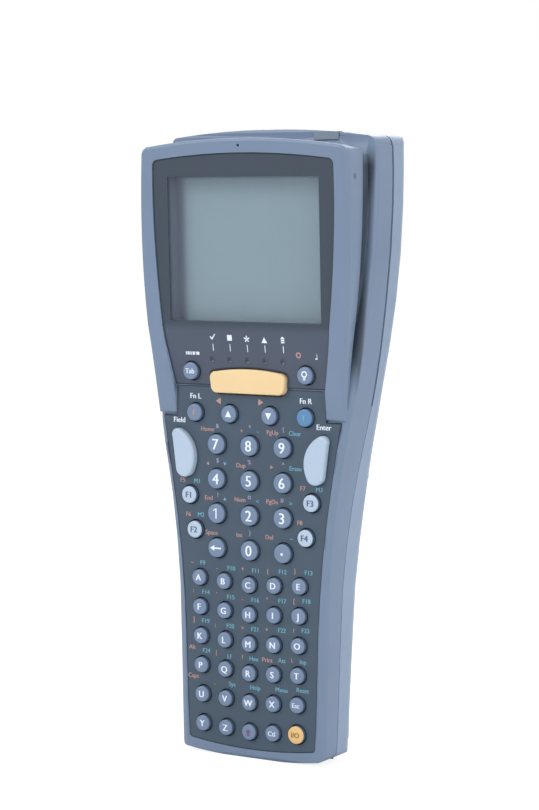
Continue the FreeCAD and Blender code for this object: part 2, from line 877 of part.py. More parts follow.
def battery_bay():
    """Walls and floor of the bay, and the wider seat that joins them to the back wall."""
    w = battery_half_width + bay_play + bay_wall
    z0 = battery_foot - bay_play - bay_wall
    z1 = battery_foot + battery_height + bay_play + bay_wall
    tray = box(-w, w, battery_front - bay_play - bay_wall, door_seat_depth, z0, z1)
    w = door_half_width + bay_wall
    seat = box(-w, w, door_seat_depth - bay_wall, total_depth, door_foot - bay_wall,
               hinge_height + hinge_barrel_radius + fit_gap + bay_wall)
    return tray.fuse(seat.common(casing_body(-wall / 2.0)))


def bay_room():
    w = battery_half_width + bay_play
    d0 = battery_front - bay_play
    return box(-w, w, d0, total_depth + cut_spare, battery_foot - bay_play,
               battery_foot + battery_height + bay_play)


def battery_pack():
    pack = box(-battery_half_width, battery_half_width, battery_front,
               battery_front + battery_thickness, battery_foot, battery_foot + battery_height)
    long_edges = [e for e in pack.Edges if abs(e.tangentAt(e.FirstParameter).z) > 0.9]
    return pack.makeChamfer(battery_chamfer, long_edges)


def hinge_depth():
    return back_at(hinge_height) - hinge_inset


def door_opening():
    """The window in the back wall that the door closes."""
    w = door_half_width
    return box(-w, w, door_seat_depth, total_depth + cut_spare, door_foot, hinge_height)


def hinge_room():
    """The round trough in which the door's barrel turns."""
    w = door_half_width
    return rod(hinge_barrel_radius + fit_gap, -w, hinge_depth(), hinge_height, 2.0 * w, X_AXIS)


def hinge_pin(grow=0.0):
    w = door_half_width + hinge_ear_width
    return rod(hinge_pin_radius + grow, -w, hinge_depth(), hinge_height, 2.0 * w, X_AXIS)


def battery_door():
    """The door: a piece of the casing's back with a hinge barrel and a slot for the latch."""
    w = door_half_width - fit_gap
    skin = casing_body(0.0).cut(casing_hollow(wall, front_wall))
    plate = skin.common(box(-w, w, door_seat_depth, total_depth, door_foot + fit_gap,
                            hinge_height))
    plate = plate.fuse(latch_guides())
    trough = rod(hinge_barrel_radius + 0.01, -w, hinge_depth(), hinge_height, 2.0 * w, X_AXIS)
    barrel = rod(hinge_barrel_radius, -w, hinge_depth(), hinge_height, 2.0 * w, X_AXIS)
    door = plate.cut(trough.common(box(-cut_reach, cut_reach, 0, hinge_depth(), 0, 300))).fuse(barrel)
    door = door.cut(hinge_pin(hinge_running_gap))
    return door.cut(latch_slot())


latch_foot = door_foot + 2.0 * fit_gap + latch_tongue_length


thumb_piece_foot = latch_foot + 3.5


def latch_back_depth():
    """Depth of the latch plate's outer face, just inside the door's wall at its foot."""
    return back_at(door_foot) - wall - fit_gap


def latch_slot():
    """The opening in the door that the thumb piece comes through, long enough for its travel."""
    w = latch_thumb_half_width + fit_gap
    z0 = thumb_piece_foot - latch_travel - fit_gap
    z1 = thumb_piece_foot + latch_thumb_height + fit_gap
    return box(-w, w, door_seat_depth, total_depth + cut_spare, z0, z1)


def latch_guides():
    """Two rails inside the door that the latch plate slides between."""
    x0 = latch_half_width + fit_gap
    x1 = x0 + latch_guide_width
    front = latch_back_depth() - latch_thickness
    back = back_at(latch_foot) - wall / 2.0
    low, high = latch_foot - latch_travel, latch_foot + latch_height
    return Part.makeCompound([box(-x1, -x0, front, back, low, high),
                              box(x0, x1, front, back, low, high)])


def tongue_slot():
    """The pocket below the door that the latch's tongue locks into."""
    w = latch_tongue_half_width + fit_gap
    back = latch_back_depth()
    low = latch_foot - latch_tongue_length - latch_travel - fit_gap
    return box(-w, w, back - latch_thickness - fit_gap, back + fit_gap, low, door_foot + 0.1)


def door_latch():
    """The slide that locks the door: a plate with a tongue at its foot and a ribbed thumb piece."""
    back = latch_back_depth()
    plate = box(-latch_half_width, latch_half_width, back - latch_thickness, back,
                latch_foot, latch_foot + latch_height)
    tongue = box(-latch_tongue_half_width, latch_tongue_half_width, back - latch_thickness, back,
                 latch_foot - latch_tongue_length, latch_foot)
    z0 = thumb_piece_foot
    outer = back_at(z0 + latch_thumb_height / 2.0) + latch_thumb_proud
    thumb = box(-latch_thumb_half_width, latch_thumb_half_width, back - 0.2, outer,
                z0, z0 + latch_thumb_height)
    latch = plate.fuse(tongue).fuse(thumb)
    for i in range(3):
        z = z0 + (i + 0.5) * latch_thumb_height / 3.0 - 0.35
        groove = box(-latch_thumb_half_width + 1.0, latch_thumb_half_width - 1.0,
                     outer - 0.6, outer + 1.0, z, z + 0.7)
        latch = latch.cut(groove)
    return latch.removeSplitter()


def connector_block(grow=0.0):
    """The block low on the back, a little prouder than the casing."""
    outer = casing_body(block_proud + grow)
    inner_depth = back_at(block_top) - block_depth - grow
    slab = box(-block_half_width - grow, block_half_width + grow, inner_depth, total_depth,
               block_foot - grow, block_top + grow)
    block = outer.common(slab)
    if grow > 0.0:
        return block
    return block.cut(pads(0.0))


def pads(shrink):
    """The row of flat charging pads, sunk flush into the block."""
    solids = []
    for i in range(pad_count):
        x = (i - (pad_count - 1) / 2.0) * pad_pitch
        z = (block_foot + block_top) / 2.0
        outer = back_at(z) + block_proud
        solids.append(box(x - pad_width / 2 + shrink, x + pad_width / 2 - shrink,
                          outer - 1.6, outer - 0.6 + pad_thickness,
                          z - pad_height / 2 + shrink, z + pad_height / 2 - shrink))
    return Part.makeCompound(solids)


def scan_window_hole():
    """The opening in the top end that the scanner looks out of, with a seat for its window."""
    w = scan_window_half_width
    d0, d1 = scan_window_front, scan_window_front + scan_window_depth
    top = total_height - scan_window_sink - scan_window_thickness
    seat = box(-w, w, d0, d1, top, total_height + 5.0)
    rim = scan_window_rim
    return seat.fuse(box(-w + rim, w - rim, d0 + rim, d1 - rim, top - 6.0, total_height + 5.0))


def scan_window():
    w = scan_window_half_width - 0.1
    d0, d1 = scan_window_front + 0.1, scan_window_front + scan_window_depth - 0.1
    top = total_height - scan_window_sink
    return box(-w, w, d0, d1, top - scan_window_thickness, top)


def scan_engine():
    """The scanner's own box, which stands on the main board under the window."""
    top = total_height - top_drop - wall - fit_gap
    body = box(-engine_half_width, engine_half_width, engine_front, main_board_depth,
               top - engine_height, top)
    return body.makeChamfer(1.0, [e for e in body.Edges if abs(e.tangentAt(e.FirstParameter).y) > 0.9])


def main_board():
    return box(-main_board_half_width, main_board_half_width, main_board_depth, main_board_back(),
               main_board_foot, main_board_top)


def backup_cell():
    return bar(16, cell_radius, cell_x, main_board_depth - cell_thickness, cell_height,
               cell_thickness)


def antenna():
    d = main_board_depth - antenna_thickness
    return box(-main_board_half_width + 2.0, -main_board_half_width + 2.0 + antenna_height,
               d, main_board_depth, antenna_top - antenna_width, antenna_top)


def sounder_front():
    """Depth of the sounder's face, just behind the panel's ledge."""
    z = sound_hole_height - sounder_drop - sounder_radius
    return head_face_at(z) + panel_sink + panel_thickness + panel_ledge + 0.1


def sounder():
    z = sound_hole_height - sounder_drop
    return bar(16, sounder_radius, sound_hole_x, sounder_front(), z, sounder_thickness)


def sounder_room():
    """The pocket above the head's room that the sounder reaches into."""
    w = sounder_radius + fit_gap
    z = sound_hole_height - sounder_drop
    start = sounder_front() - 0.1
    return box(sound_hole_x - w, sound_hole_x + w, start, start + sounder_thickness + 2.0 * fit_gap,
               z - sounder_radius, z + w)


def display_panel():
    """The dark panel: a plate with openings for the screen, lights, keys and scan bar."""
    panel = panel_plate(0.0, -0.1, panel_thickness)
    half = screen_width / 2.0
    panel = panel.cut(box(-half, half, -cut_spare, total_depth, screen_foot, screen_top))
    for key in key_holes(key_gap):
        if key.BoundBox.ZMax > panel_foot_height:
            panel = panel.cut(key)
    for x in light_places():
        panel = panel.cut(bar(12, light_radius + 0.05, x, -2.0, light_row, 15.0))
    return panel


def light_places():
    return [(i - (light_count - 1) / 2.0) * light_pitch for i in range(light_count)]


def indicator_lights():
    front = panel_face_at(light_row) + 0.15
    return Part.makeCompound([bar(12, light_radius, x, front, light_row, light_length)
                              for x in light_places()])


def leaning_block(x0, x1, z0, z1, shift, thickness):
    """A block whose faces lean as the panel does, a shift behind the panel's face."""
    points = [Vector(x, y_at(panel_face_at(z) + shift), z)
              for x, z in ((x0, z0), (x1, z0), (x1, z1), (x0, z1))]
    wire = Part.makePolygon(points + points[:1])
    return Part.Face(wire).extrude(Vector(0, thickness, 0))


def display_window():
    half = screen_width / 2.0 - 0.1
    return leaning_block(-half, half, screen_foot + 0.1, screen_top - 0.1, 0.25, window_thickness)


def display_frame():
    """The walled frame that keeps the screen's glass clear of the window."""
    half = screen_width / 2.0
    w = frame_wall
    outer = leaning_block(-half - w, half + w, screen_foot - w, screen_top + w,
                          panel_thickness, lcd_sink - panel_thickness)
    return outer.cut(leaning_block(-half, half, screen_foot, screen_top, 0.0, lcd_sink + 1.0))


def lcd_module():
    half = screen_width / 2.0 + lcd_margin
    return leaning_block(-half, half, screen_foot - lcd_overlap, screen_top + lcd_overlap,
                         lcd_sink, lcd_thickness)


def keypad_overlay():
    """The dark plate round the keys."""
    overlay = plate_from(overlay_wire(overlay_front, -0.1), overlay_thickness)
    for key in key_holes(key_gap):
        if key.BoundBox.ZMin < panel_foot_height:
            overlay = overlay.cut(key)
    return overlay


def mat_area(depth, thickness, shrink):
    """The shape that the mat and the keypad board share: the overlay's, with straight sides."""
    inset = mat_inset + shrink
    top = light_row + 1.0 - shrink
    shoulder = overlay_half_widths[-1][0] - inset
    stations = [overlay_half_widths[i] for i in (0, 2, 3)]
    right = [(profile(overlay_half_widths, z) - inset, z + inset if i == 0 else z)
             for i, (z, _) in enumerate(stations)]
    right[0] = (right[0][0], overlay_foot + overlay_foot_drop + inset)
    right += [(profile(overlay_half_widths, shoulder) - inset, shoulder),
              (arm_inner_half - inset - 1.0, shoulder), (arm_inner_half - inset - 1.0, top)]
    outline = right + [(-x, z) for x, z in reversed(right)]
    points = [Vector(x, y_at(depth), z) for x, z in outline]
    return Part.Face(Part.makePolygon(points + points[:1])).extrude(Vector(0, thickness, 0))


def keypad_mat():
    """The soft mat behind the keys, whose lip meets the back of the casing's ledge."""
    mat = mat_area(mat_front, mat_thickness, 0.0)
    lip = mat_area(ledge_back, mat_front - ledge_back, 0.0)
    inner = mat_area(ledge_back - 1.0, mat_front - ledge_back + 1.0, mat_lip_width)
    lower = box(-cut_reach, cut_reach, 0, total_depth, 0, number_top_row)
    return mat.fuse(lip.cut(inner).common(lower)).removeSplitter()


def keypad_board():
    return mat_area(mat_back, board_thickness, 0.0)


def casing_gasket():
    """The dark strip that fills the joint between the casing halves, sunk below the surface."""
    ring = casing_hollow(gasket_inset, gasket_inset)
    ring = ring.cut(casing_hollow(gasket_inset + gasket_width, gasket_inset + gasket_width))
    upper = box(-cut_reach, cut_reach, -cut_spare, total_depth + cut_spare, slit_end_height,
                total_height)
    lower = box(-cut_reach, cut_reach, -cut_spare, total_depth + cut_spare, -cut_spare,
                slit_end_height)

    def strip(width, area):
        front = joint_sheet(width / 2.0, True)
        return ring.common(front.cut(joint_sheet(-width / 2.0, True))).common(area)

    return strip(joint_slit, upper).fuse(strip(joint_seam, lower)).removeSplitter()


def top_tab(shrink):
    """The small tab set into the front edge of the top end."""
    z1 = total_height - 1.1
    front = front_at(z1) - tab_proud
    return box(tab_x - tab_half_width + shrink, tab_x + tab_half_width - shrink, front,
               front + tab_proud + tab_depth - shrink, z1 - tab_height + shrink, z1)


def side_dimple(side):
    x = profile(head_half_widths, dimple_height) + 0.5
    start = side * (x - dimple_depth - head_draft * 0.5)
    return rod(dimple_radius, start, head_face_at(dimple_height) + dimple_from_front,
               dimple_height, 3.0, Vector(side, 0, 0))


def battery_contacts():
    """Three springs on the foot of the bay that touch the battery's end."""
    solids = []
    for x in (-8.0, 0.0, 8.0):
        solids.append(box(x - 1.5, x + 1.5, battery_front + 4.0, battery_front + 9.0,
                          battery_foot - bay_play, battery_foot))
    return Part.makeCompound(solids)


def build_pieces():
    pieces = {
        "front_casing": front_half(),
        "back_casing": back_half(),
        "casing_gasket": casing_gasket(),
        "display_panel": display_panel(),
        "display_window": display_window(),
        "display_frame": display_frame(),
        "lcd_module": lcd_module(),
        "keypad_overlay": keypad_overlay(),
        "keypad_mat": keypad_mat(),
        "keypad_board": keypad_board(),
        "main_board": main_board(),
        "backup_cell": backup_cell(),
        "antenna": antenna(),
        "sounder": sounder(),
        "indicator_lights": indicator_lights(),
        "scan_engine": scan_engine(),
        "scan_window": scan_window(),
        "battery_pack": battery_pack(),
        "battery_contacts": battery_contacts(),
        "battery_door": battery_door(),
        "door_hinge_pin": hinge_pin(),
        "door_latch": door_latch(),
        "connector_block": connector_block(),
        "charging_pads": pads(0.0),
        "casing_screws": casing_screws(),
        "top_tab": top_tab(0.0),
        "scan_bar": scan_bar(),
        "field_key": thumb_key(-1),
        "enter_key": thumb_key(1),
    }
    groups = {}
    for name, x, z, radius, top in round_keys():
        groups.setdefault(name, []).append(round_key(x, z, radius, top))
    for name, keys in groups.items():
        pieces[name] = keys[0] if len(keys) == 1 else Part.makeCompound(keys)
    return pieces


os.makedirs("parts", exist_ok=True)
for name, shape in build_pieces().items():
    shape.exportStep("parts/" + name + ".step")
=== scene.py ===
"""Dresses a hand-held bar code terminal in its finishes, lettered keys and soft light.

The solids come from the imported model. Sizes in the classes are millimetres in the terminal's own
frame: +Z up its length, the screen and keys face -Y, and x grows to the right of a reader.
"""

import logging
import math
from dataclasses import dataclass, field
from enum import Enum
from typing import Callable, Iterable, Optional, Sequence, TypeVar

import bmesh
import bpy
from mathutils import Matrix, Vector
from mathutils.bvhtree import BVHTree


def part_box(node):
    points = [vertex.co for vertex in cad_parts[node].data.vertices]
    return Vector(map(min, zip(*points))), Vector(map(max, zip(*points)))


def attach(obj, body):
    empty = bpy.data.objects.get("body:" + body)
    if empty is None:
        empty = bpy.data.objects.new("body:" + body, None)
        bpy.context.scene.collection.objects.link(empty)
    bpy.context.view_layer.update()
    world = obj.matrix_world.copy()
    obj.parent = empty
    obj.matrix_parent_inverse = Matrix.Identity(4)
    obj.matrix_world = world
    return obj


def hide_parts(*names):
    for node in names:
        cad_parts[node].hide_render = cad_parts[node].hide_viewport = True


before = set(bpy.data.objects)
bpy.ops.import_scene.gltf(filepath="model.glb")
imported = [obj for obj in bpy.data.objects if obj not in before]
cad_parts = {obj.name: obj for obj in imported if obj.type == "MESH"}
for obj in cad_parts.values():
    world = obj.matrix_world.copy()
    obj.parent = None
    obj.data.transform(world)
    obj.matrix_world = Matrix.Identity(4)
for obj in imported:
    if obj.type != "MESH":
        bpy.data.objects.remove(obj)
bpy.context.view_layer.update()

LOG = logging.getLogger("terminal")
MM = 0.001
QUARTER_TURN = math.pi / 2.0
UPWARDS = (0.0, 0.0, 1.0)

# A capital letter's share of its letter size, and how far the second stroke of bold lettering lies
# in front of the first.
CAP_HEIGHT = 0.682
BOLD_STEP = 0.004
PRINT_THICKNESS = 0.05
# Keys whose middles are further apart in height than this are in separate rows.
ROW_DROP = 5.0
# Corners of a solid's faces that are closer together than this are one corner.
MERGE_REACH = 0.002
# Waves a metre of the mottling, and of the patches that shine a little more or less.
MOTTLE_SCALE = 38.0
PATCH_SCALE = 90.0

Place = tuple[float, float, float]
Polygon = tuple[tuple[float, float], ...]
Part = TypeVar("Part", bmesh.types.BMVert, bmesh.types.BMFace)


class Tint(Enum):
    """Colours of the terminal, as they look in plain light."""

    CASING = "6D7E96"
    # painted light: the back half's plastic is painted lighter than the front casing
    CASING_BACK = "8292A9"
    # painted shade of the side dimples' hollows
    DIMPLE = "56647A"
    # painted shade for the groove between the head and the shell
    GROOVE = "36414E"
    # the gasket's rubber, also used as painted shade in the gap round the sheets' outer edges
    SEAL = "2B3540"
    SHEET = "3C4C5C"
    PANEL = "2F3B48"
    # painted light: the panel's lower, upward-facing ramp is painted lighter than the rest
    RAMP = "424B5C"
    SCREEN = "778B96"
    # painted shade along the screen's left and top edges
    SCREEN_EDGE = "5E6678"
    SCREEN_WALL = "565D70"
    GLASS = "C4D3DA"
    KEY = "6C7E99"
    # the keys' side walls: partly a darker side colour, partly painted shade
    KEY_SIDE = "4A5A70"
    BLUE_KEY = "5580A8"
    LIGHT_KEY = "ABBCCF"
    SCAN = "E2C596"
    POWER = "DDB677"
    WHITE = "DCE4F0"
    ORANGE = "B08C82"
    TEAL = "68A3B4"
    VIOLET = "9A8FB4"
    PLUM = "6A4A78"
    SLATE_LEGEND = "4A5A72"
    BROWN = "6E5A3A"
    BLACK = "1E2125"
    LAMP = "333C49"
    # painted highlight on the right side of each lens's sunk wall
    LAMP_EDGE = "7D8798"
    RUBBER = "59646F"
    BOARD = "2C5A41"
    CERAMIC = "D5D0C2"
    STEEL = "B2B5B9"
    DARK_STEEL = "4B4F55"
    GOLD = "CBA552"
    RUBY = "3A1016"
    BATTERY = "2D3137"
    TAB = "7C8995"

    def linear(self) -> tuple[float, float, float, float]:
        """The colour as linear light.

        Returns:
            Red, green and blue, with full alpha.
        """
        parts = [int(self.value[i:i + 2], 16) / 255.0 for i in (0, 2, 4)]
        light = [c / 12.92 if c <= 0.04045 else ((c + 0.055) / 1.055) ** 2.4 for c in parts]
        return (light[0], light[1], light[2], 1.0)


class Glyph(Enum):
    """Plain marks that are printed beside or on the keys."""

    UP = "up"
    DOWN = "down"
    LEFT = "left"
    RIGHT = "right"
    SQUARE = "square"
    CHECK = "check"
    STAR = "star"
    CELL = "cell"
    LINE = "line"
    DASH = "dash"
    ARROW_LEFT = "arrow_left"
    SHIFT = "shift"
    RING = "ring"
    BULB = "bulb"
    NOTE = "note"
    BARS = "bars"
    ONE = "one"
    DOT = "dot"


def spoke(turn: float, long: float, thin: float) -> Polygon:
    """One arm of a star as a thin bar from the middle outwards.

    Args:
        turn: the arm's direction, in degrees from straight up.
        long: its length.
        thin: its width.

    Returns:
        The bar's four corners.
    """
    a = math.radians(turn)
    along = (math.sin(a) * long, math.cos(a) * long)
    side = (math.cos(a) * thin / 2.0, -math.sin(a) * thin / 2.0)
    return ((-side[0], -side[1]), (side[0], side[1]),
            (along[0] + side[0], along[1] + side[1]), (along[0] - side[0], along[1] - side[1]))


def block(left: float, low: float, right: float, high: float) -> Polygon:
    """An upright rectangle's corners, from its lower left round to its upper left."""
    return ((left, low), (right, low), (right, high), (left, high))


GLYPH_SHAPES: dict[Glyph, tuple[Polygon, ...]] = {
    Glyph.UP: (((-0.5, -0.42), (0.5, -0.42), (0.0, 0.5)),),
    Glyph.DOWN: (((-0.5, 0.42), (0.0, -0.5), (0.5, 0.42)),),
    Glyph.LEFT: (((0.4, -0.5), (0.4, 0.5), (-0.45, 0.0)),),
    Glyph.RIGHT: (((-0.4, -0.5), (0.45, 0.0), (-0.4, 0.5)),),
    Glyph.SQUARE: (block(-0.42, -0.45, 0.42, 0.45),),
    Glyph.CHECK: (((-0.5, 0.0), (-0.3, 0.12), (-0.12, -0.2), (-0.1, -0.5)),
                  ((-0.12, -0.2), (-0.1, -0.5), (0.55, 0.42), (0.42, 0.5))),
    Glyph.STAR: tuple(spoke(turn, 0.52, 0.2) for turn in range(0, 360, 72)),
    Glyph.CELL: (block(-0.3, -0.5, 0.3, -0.3), block(-0.3, -0.2, 0.3, 0.05),
                 block(-0.3, 0.13, 0.3, 0.34), block(-0.14, 0.34, 0.14, 0.5)),
    Glyph.LINE: (block(-0.05, -0.5, 0.05, 0.5),),
    Glyph.DASH: (block(-0.5, -0.09, 0.5, 0.09),),
    Glyph.ARROW_LEFT: (((-0.6, 0.0), (-0.15, -0.27), (-0.15, 0.27)),
                       block(-0.15, -0.07, 0.55, 0.07)),
    Glyph.SHIFT: (((-0.5, 0.0), (0.5, 0.0), (0.0, 0.5)), block(-0.2, -0.5, 0.2, 0.0)),
    Glyph.NOTE: (block(-0.3, -0.5, 0.1, -0.22), block(0.0, -0.22, 0.1, 0.5)),
    Glyph.ONE: (block(-0.02, -0.5, 0.11, 0.5),
                ((-0.02, 0.5), (-0.02, 0.36), (-0.26, 0.22), (-0.26, 0.33))),
    Glyph.DOT: (tuple((0.14 * math.cos(math.radians(a)), 0.14 * math.sin(math.radians(a)) - 0.05)
                      for a in range(0, 360, 30)),),
    Glyph.BARS: tuple(block(x, -0.3, x + w, 0.3)
                      for x, w in ((-1.5, 0.2), (-1.2, 0.1), (-1.0, 0.3), (-0.6, 0.1), (-0.4, 0.2),
                                   (0.0, 0.5), (0.7, 0.1), (0.9, 0.6))),
}


class NodeGraph:
    """A material's nodes, with short ways to add one and to join two."""

    def __init__(self, name: str) -> None:
        """Starts a material with only an output and a surface shader.

        Args:
            name: the material's name.
        """
        self.material = bpy.data.materials.new(name)
        self.material.use_nodes = True
        self.tree = self.material.node_tree
        self.tree.nodes.clear()
        self.output = self.tree.nodes.new("ShaderNodeOutputMaterial")
        self.shader = self.tree.nodes.new("ShaderNodeBsdfPrincipled")
        self.join(self.shader, "BSDF", self.output, "Surface")

    def add(self, kind: str, **values: object) -> bpy.types.Node:
        """Adds a node and sets its inputs.

        Args:
            kind: the node's type name.
            values: inputs by name, with spaces written as underscores.

        Returns:
            The new node.
        """
        node = self.tree.nodes.new(kind)
        for name, value in values.items():
            node.inputs[name.replace("_", " ")].default_value = value
        return node

    def join(self, start: bpy.types.Node, out: str, end: bpy.types.Node, socket: str) -> None:
        """Links one node's output to another's input."""
        self.tree.links.new(start.outputs[out], end.inputs[socket])

    def noise(self, scale: float, detail: float = 2.0,
              stretch: Optional[Vector] = None) -> bpy.types.Node:
        """Adds a noise pattern on the piece's own coordinates.

        Args:
            scale: the pattern's scale, in waves a metre.
            detail: how many finer layers it has.
            stretch: a scale along each axis, for brushed or drawn surfaces.

        Returns:
            The noise node.
        """
        place = self.tree.nodes.new("ShaderNodeTexCoord")
        noise = self.add("ShaderNodeTexNoise", Scale=scale, Detail=detail)
        if stretch is None:
            self.join(place, "Object", noise, "Vector")
            return noise
        mapping = self.add("ShaderNodeMapping", Scale=stretch)
        self.join(place, "Object", mapping, "Vector")
        self.join(mapping, "Vector", noise, "Vector")
        return noise

    def spread(self, source: bpy.types.Node, out: str, low: float, high: float, start: float = 0.3,
               end: float = 0.7) -> bpy.types.Node:
        """Maps a pattern's value to a range.

        Args:
            source: the node that gives the value.
            out: its output's name.
            low: the result at start.
            high: the result at end.
            start: the value that gives low.
            end: the value that gives high.

        Returns:
            The mapping node, whose output is called Result.
        """
        ramp = self.add("ShaderNodeMapRange", From_Min=start, From_Max=end, To_Min=low, To_Max=high)
        self.join(source, out, ramp, "Value")
        return ramp

    def blend(self, share: bpy.types.Node, out: str, first: Sequence[float],
              second: Sequence[float]) -> bpy.types.Node:
        """Mixes two colours by a value.

        Args:
            share: the node that gives the share of the second colour.
            out: its output's name.
            first: the first colour.
            second: the second colour.

        Returns:
            The mixing node, whose output is called Color.
        """
        mix = self.tree.nodes.new("ShaderNodeMixRGB")
        mix.inputs["Color1"].default_value = first
        mix.inputs["Color2"].default_value = second
        self.join(share, out, mix, "Fac")
        return mix

    def bump(self, source: bpy.types.Node, out: str, strength: float, height: float) -> None:
        """Raises the surface by a pattern.

        Args:
            source: the node that gives the pattern.
            out: its output's name.
            strength: how much of it shows.
            height: its height, in metres.
        """
        node = self.add("ShaderNodeBump", Strength=strength, Distance=height)
        self.join(source, out, node, "Height")
        self.join(node, "Normal", self.shader, "Normal")


def shaded(colour: Sequence[float], factor: float) -> tuple[float, float, float, float]:
    """A colour made darker or lighter by a factor, with full alpha."""
    return (colour[0] * factor, colour[1] * factor, colour[2] * factor, 1.0)


@dataclass(frozen=True)
class Finish:
    """What a surface looks like, as a named material."""

    name: str
    tint: Tint

    def material(self) -> bpy.types.Material:
        """Builds the material once.

        Returns:
            The new material, or the one that is there already.
        """
        known = bpy.data.materials.get(self.name)
        if known is not None:
            return known
        graph = NodeGraph(self.name)
        self.paint(graph)
        return graph.material

    def paint(self, graph: NodeGraph) -> None:
        """Adds the nodes of the finish, of which each kind has its own."""
        raise NotImplementedError


@dataclass(frozen=True)
class Plastic(Finish):
    """A moulded or printed plastic with fine grain and slight mottling."""

    roughness: float = 0.45
    grain: float = 2600.0
    grain_height: float = 0.00003
    grain_strength: float = 0.25
    mottle: float = 0.05
    coat: float = 0.0
    coat_roughness: float = 0.12
    specular: float = 0.45
    soft_light: float = 0.0
    soft_reach: float = 0.002

    def base_colour(self, graph: NodeGraph) -> bpy.types.Node:
        """Adds the nodes that give the plastic its colour.

        Args:
            graph: the material's nodes.

        Returns:
            The last of them, whose output is called Color.
        """
        colour = self.tint.linear()
        share = graph.spread(graph.noise(MOTTLE_SCALE, 4.0), "Fac", 0.0, 1.0)
        return graph.blend(share, "Result", shaded(colour, 1.0 - self.mottle),
                           shaded(colour, 1.0 + self.mottle))

    def paint(self, graph: NodeGraph) -> None:
        """Adds the plastic's nodes.

        Args:
            graph: the material's nodes.
        """
        shader = graph.shader
        shader.inputs["Specular IOR Level"].default_value = self.specular
        shader.inputs["Coat Weight"].default_value = self.coat
        shader.inputs["Coat Roughness"].default_value = self.coat_roughness
        if self.soft_light > 0.0:
            shader.inputs["Subsurface Weight"].default_value = self.soft_light
            shader.inputs["Subsurface Scale"].default_value = self.soft_reach
        graph.join(self.base_colour(graph), "Color", shader, "Base Color")
        patch = graph.noise(PATCH_SCALE, 3.0)
        rough = graph.spread(patch, "Fac", self.roughness - 0.05, self.roughness + 0.07)
        graph.join(rough, "Result", shader, "Roughness")
        graph.bump(graph.noise(self.grain, 1.0), "Fac", self.grain_strength, self.grain_height)


@dataclass(frozen=True)
class Fade:
    """A share that grows from none to all between two places along a direction."""

    along: Place
    start: float
    end: float


@dataclass(frozen=True)
class FadedPlastic(Plastic):
    """A plastic that passes into a second colour where all its fades have grown."""

    second: Tint = Tint.CASING
    fades: tuple[Fade, ...] = ()

    def base_colour(self, graph: NodeGraph) -> bpy.types.Node:
        """Adds the nodes that pass from the first colour to the second.

        Args:
            graph: the material's nodes.

        Returns:
            The last of them, whose output is called Color.
        """
        links = graph.tree.links
        first = super().base_colour(graph)
        place = graph.add("ShaderNodeTexCoord")
        share, out = None, "Result"
        for fade in self.fades:
            reach = graph.add("ShaderNodeVectorMath")
            reach.operation = "DOT_PRODUCT"
            reach.inputs[1].default_value = fade.along
            links.new(place.outputs["Object"], reach.inputs[0])
            low, high = sorted((fade.start, fade.end))
            ends = (0.0, 1.0) if fade.end > fade.start else (1.0, 0.0)
            grown = graph.spread(reach, "Value", *ends, low * MM, high * MM)
            if share is not None:
                both = graph.add("ShaderNodeMath")
                both.operation = "MULTIPLY"
                links.new(share.outputs[out], both.inputs[0])
                links.new(grown.outputs["Result"], both.inputs[1])
                grown, out = both, "Value"
            share = grown
        mix = graph.blend(share, out, self.tint.linear(), self.second.linear())
        graph.join(first, "Color", mix, "Color1")
        return mix


@dataclass(frozen=True)
class Metal(Finish):
    """A drawn or plated metal with lines along one axis."""

    roughness: float = 0.32
    stretch: Place = (0.04, 1.0, 1.0)
    line_scale: float = 4200.0
    line_height: float = 0.00001

    def paint(self, graph: NodeGraph) -> None:
        """Adds the metal's nodes.

        Args:
            graph: the material's nodes.
        """
        graph.shader.inputs["Metallic"].default_value = 1.0
        lines = graph.noise(self.line_scale, 2.0, Vector(self.stretch))
        colour = self.tint.linear()
        share = graph.spread(lines, "Fac", 0.0, 1.0)
        mix = graph.blend(share, "Result", shaded(colour, 0.9), shaded(colour, 1.08))
        graph.join(mix, "Color", graph.shader, "Base Color")
        rough = graph.spread(lines, "Fac", self.roughness - 0.08, self.roughness + 0.1)
        graph.join(rough, "Result", graph.shader, "Roughness")
        graph.bump(lines, "Fac", 0.15, self.line_height)


@dataclass(frozen=True)
class Glass(Finish):
    """A clear window that lets light through and keeps a faint sheen."""

    cover: float = 1.0
    roughness: float = 0.06
    smear_scale: float = 45.0

    def paint(self, graph: NodeGraph) -> None:
        """Adds the glass's nodes.

        Args:
            graph: the material's nodes.
        """
        shader = graph.shader
        shader.inputs["Alpha"].default_value = self.cover
        shader.inputs["Specular IOR Level"].default_value = 0.5
        smear = graph.noise(self.smear_scale, 3.0)
        rough = graph.spread(smear, "Fac", self.roughness, self.roughness + 0.05)
        graph.join(rough, "Result", shader, "Roughness")
        colour = self.tint.linear()
        mix = graph.blend(rough, "Result", colour, shaded(colour, 0.96))
        graph.join(mix, "Color", shader, "Base Color")


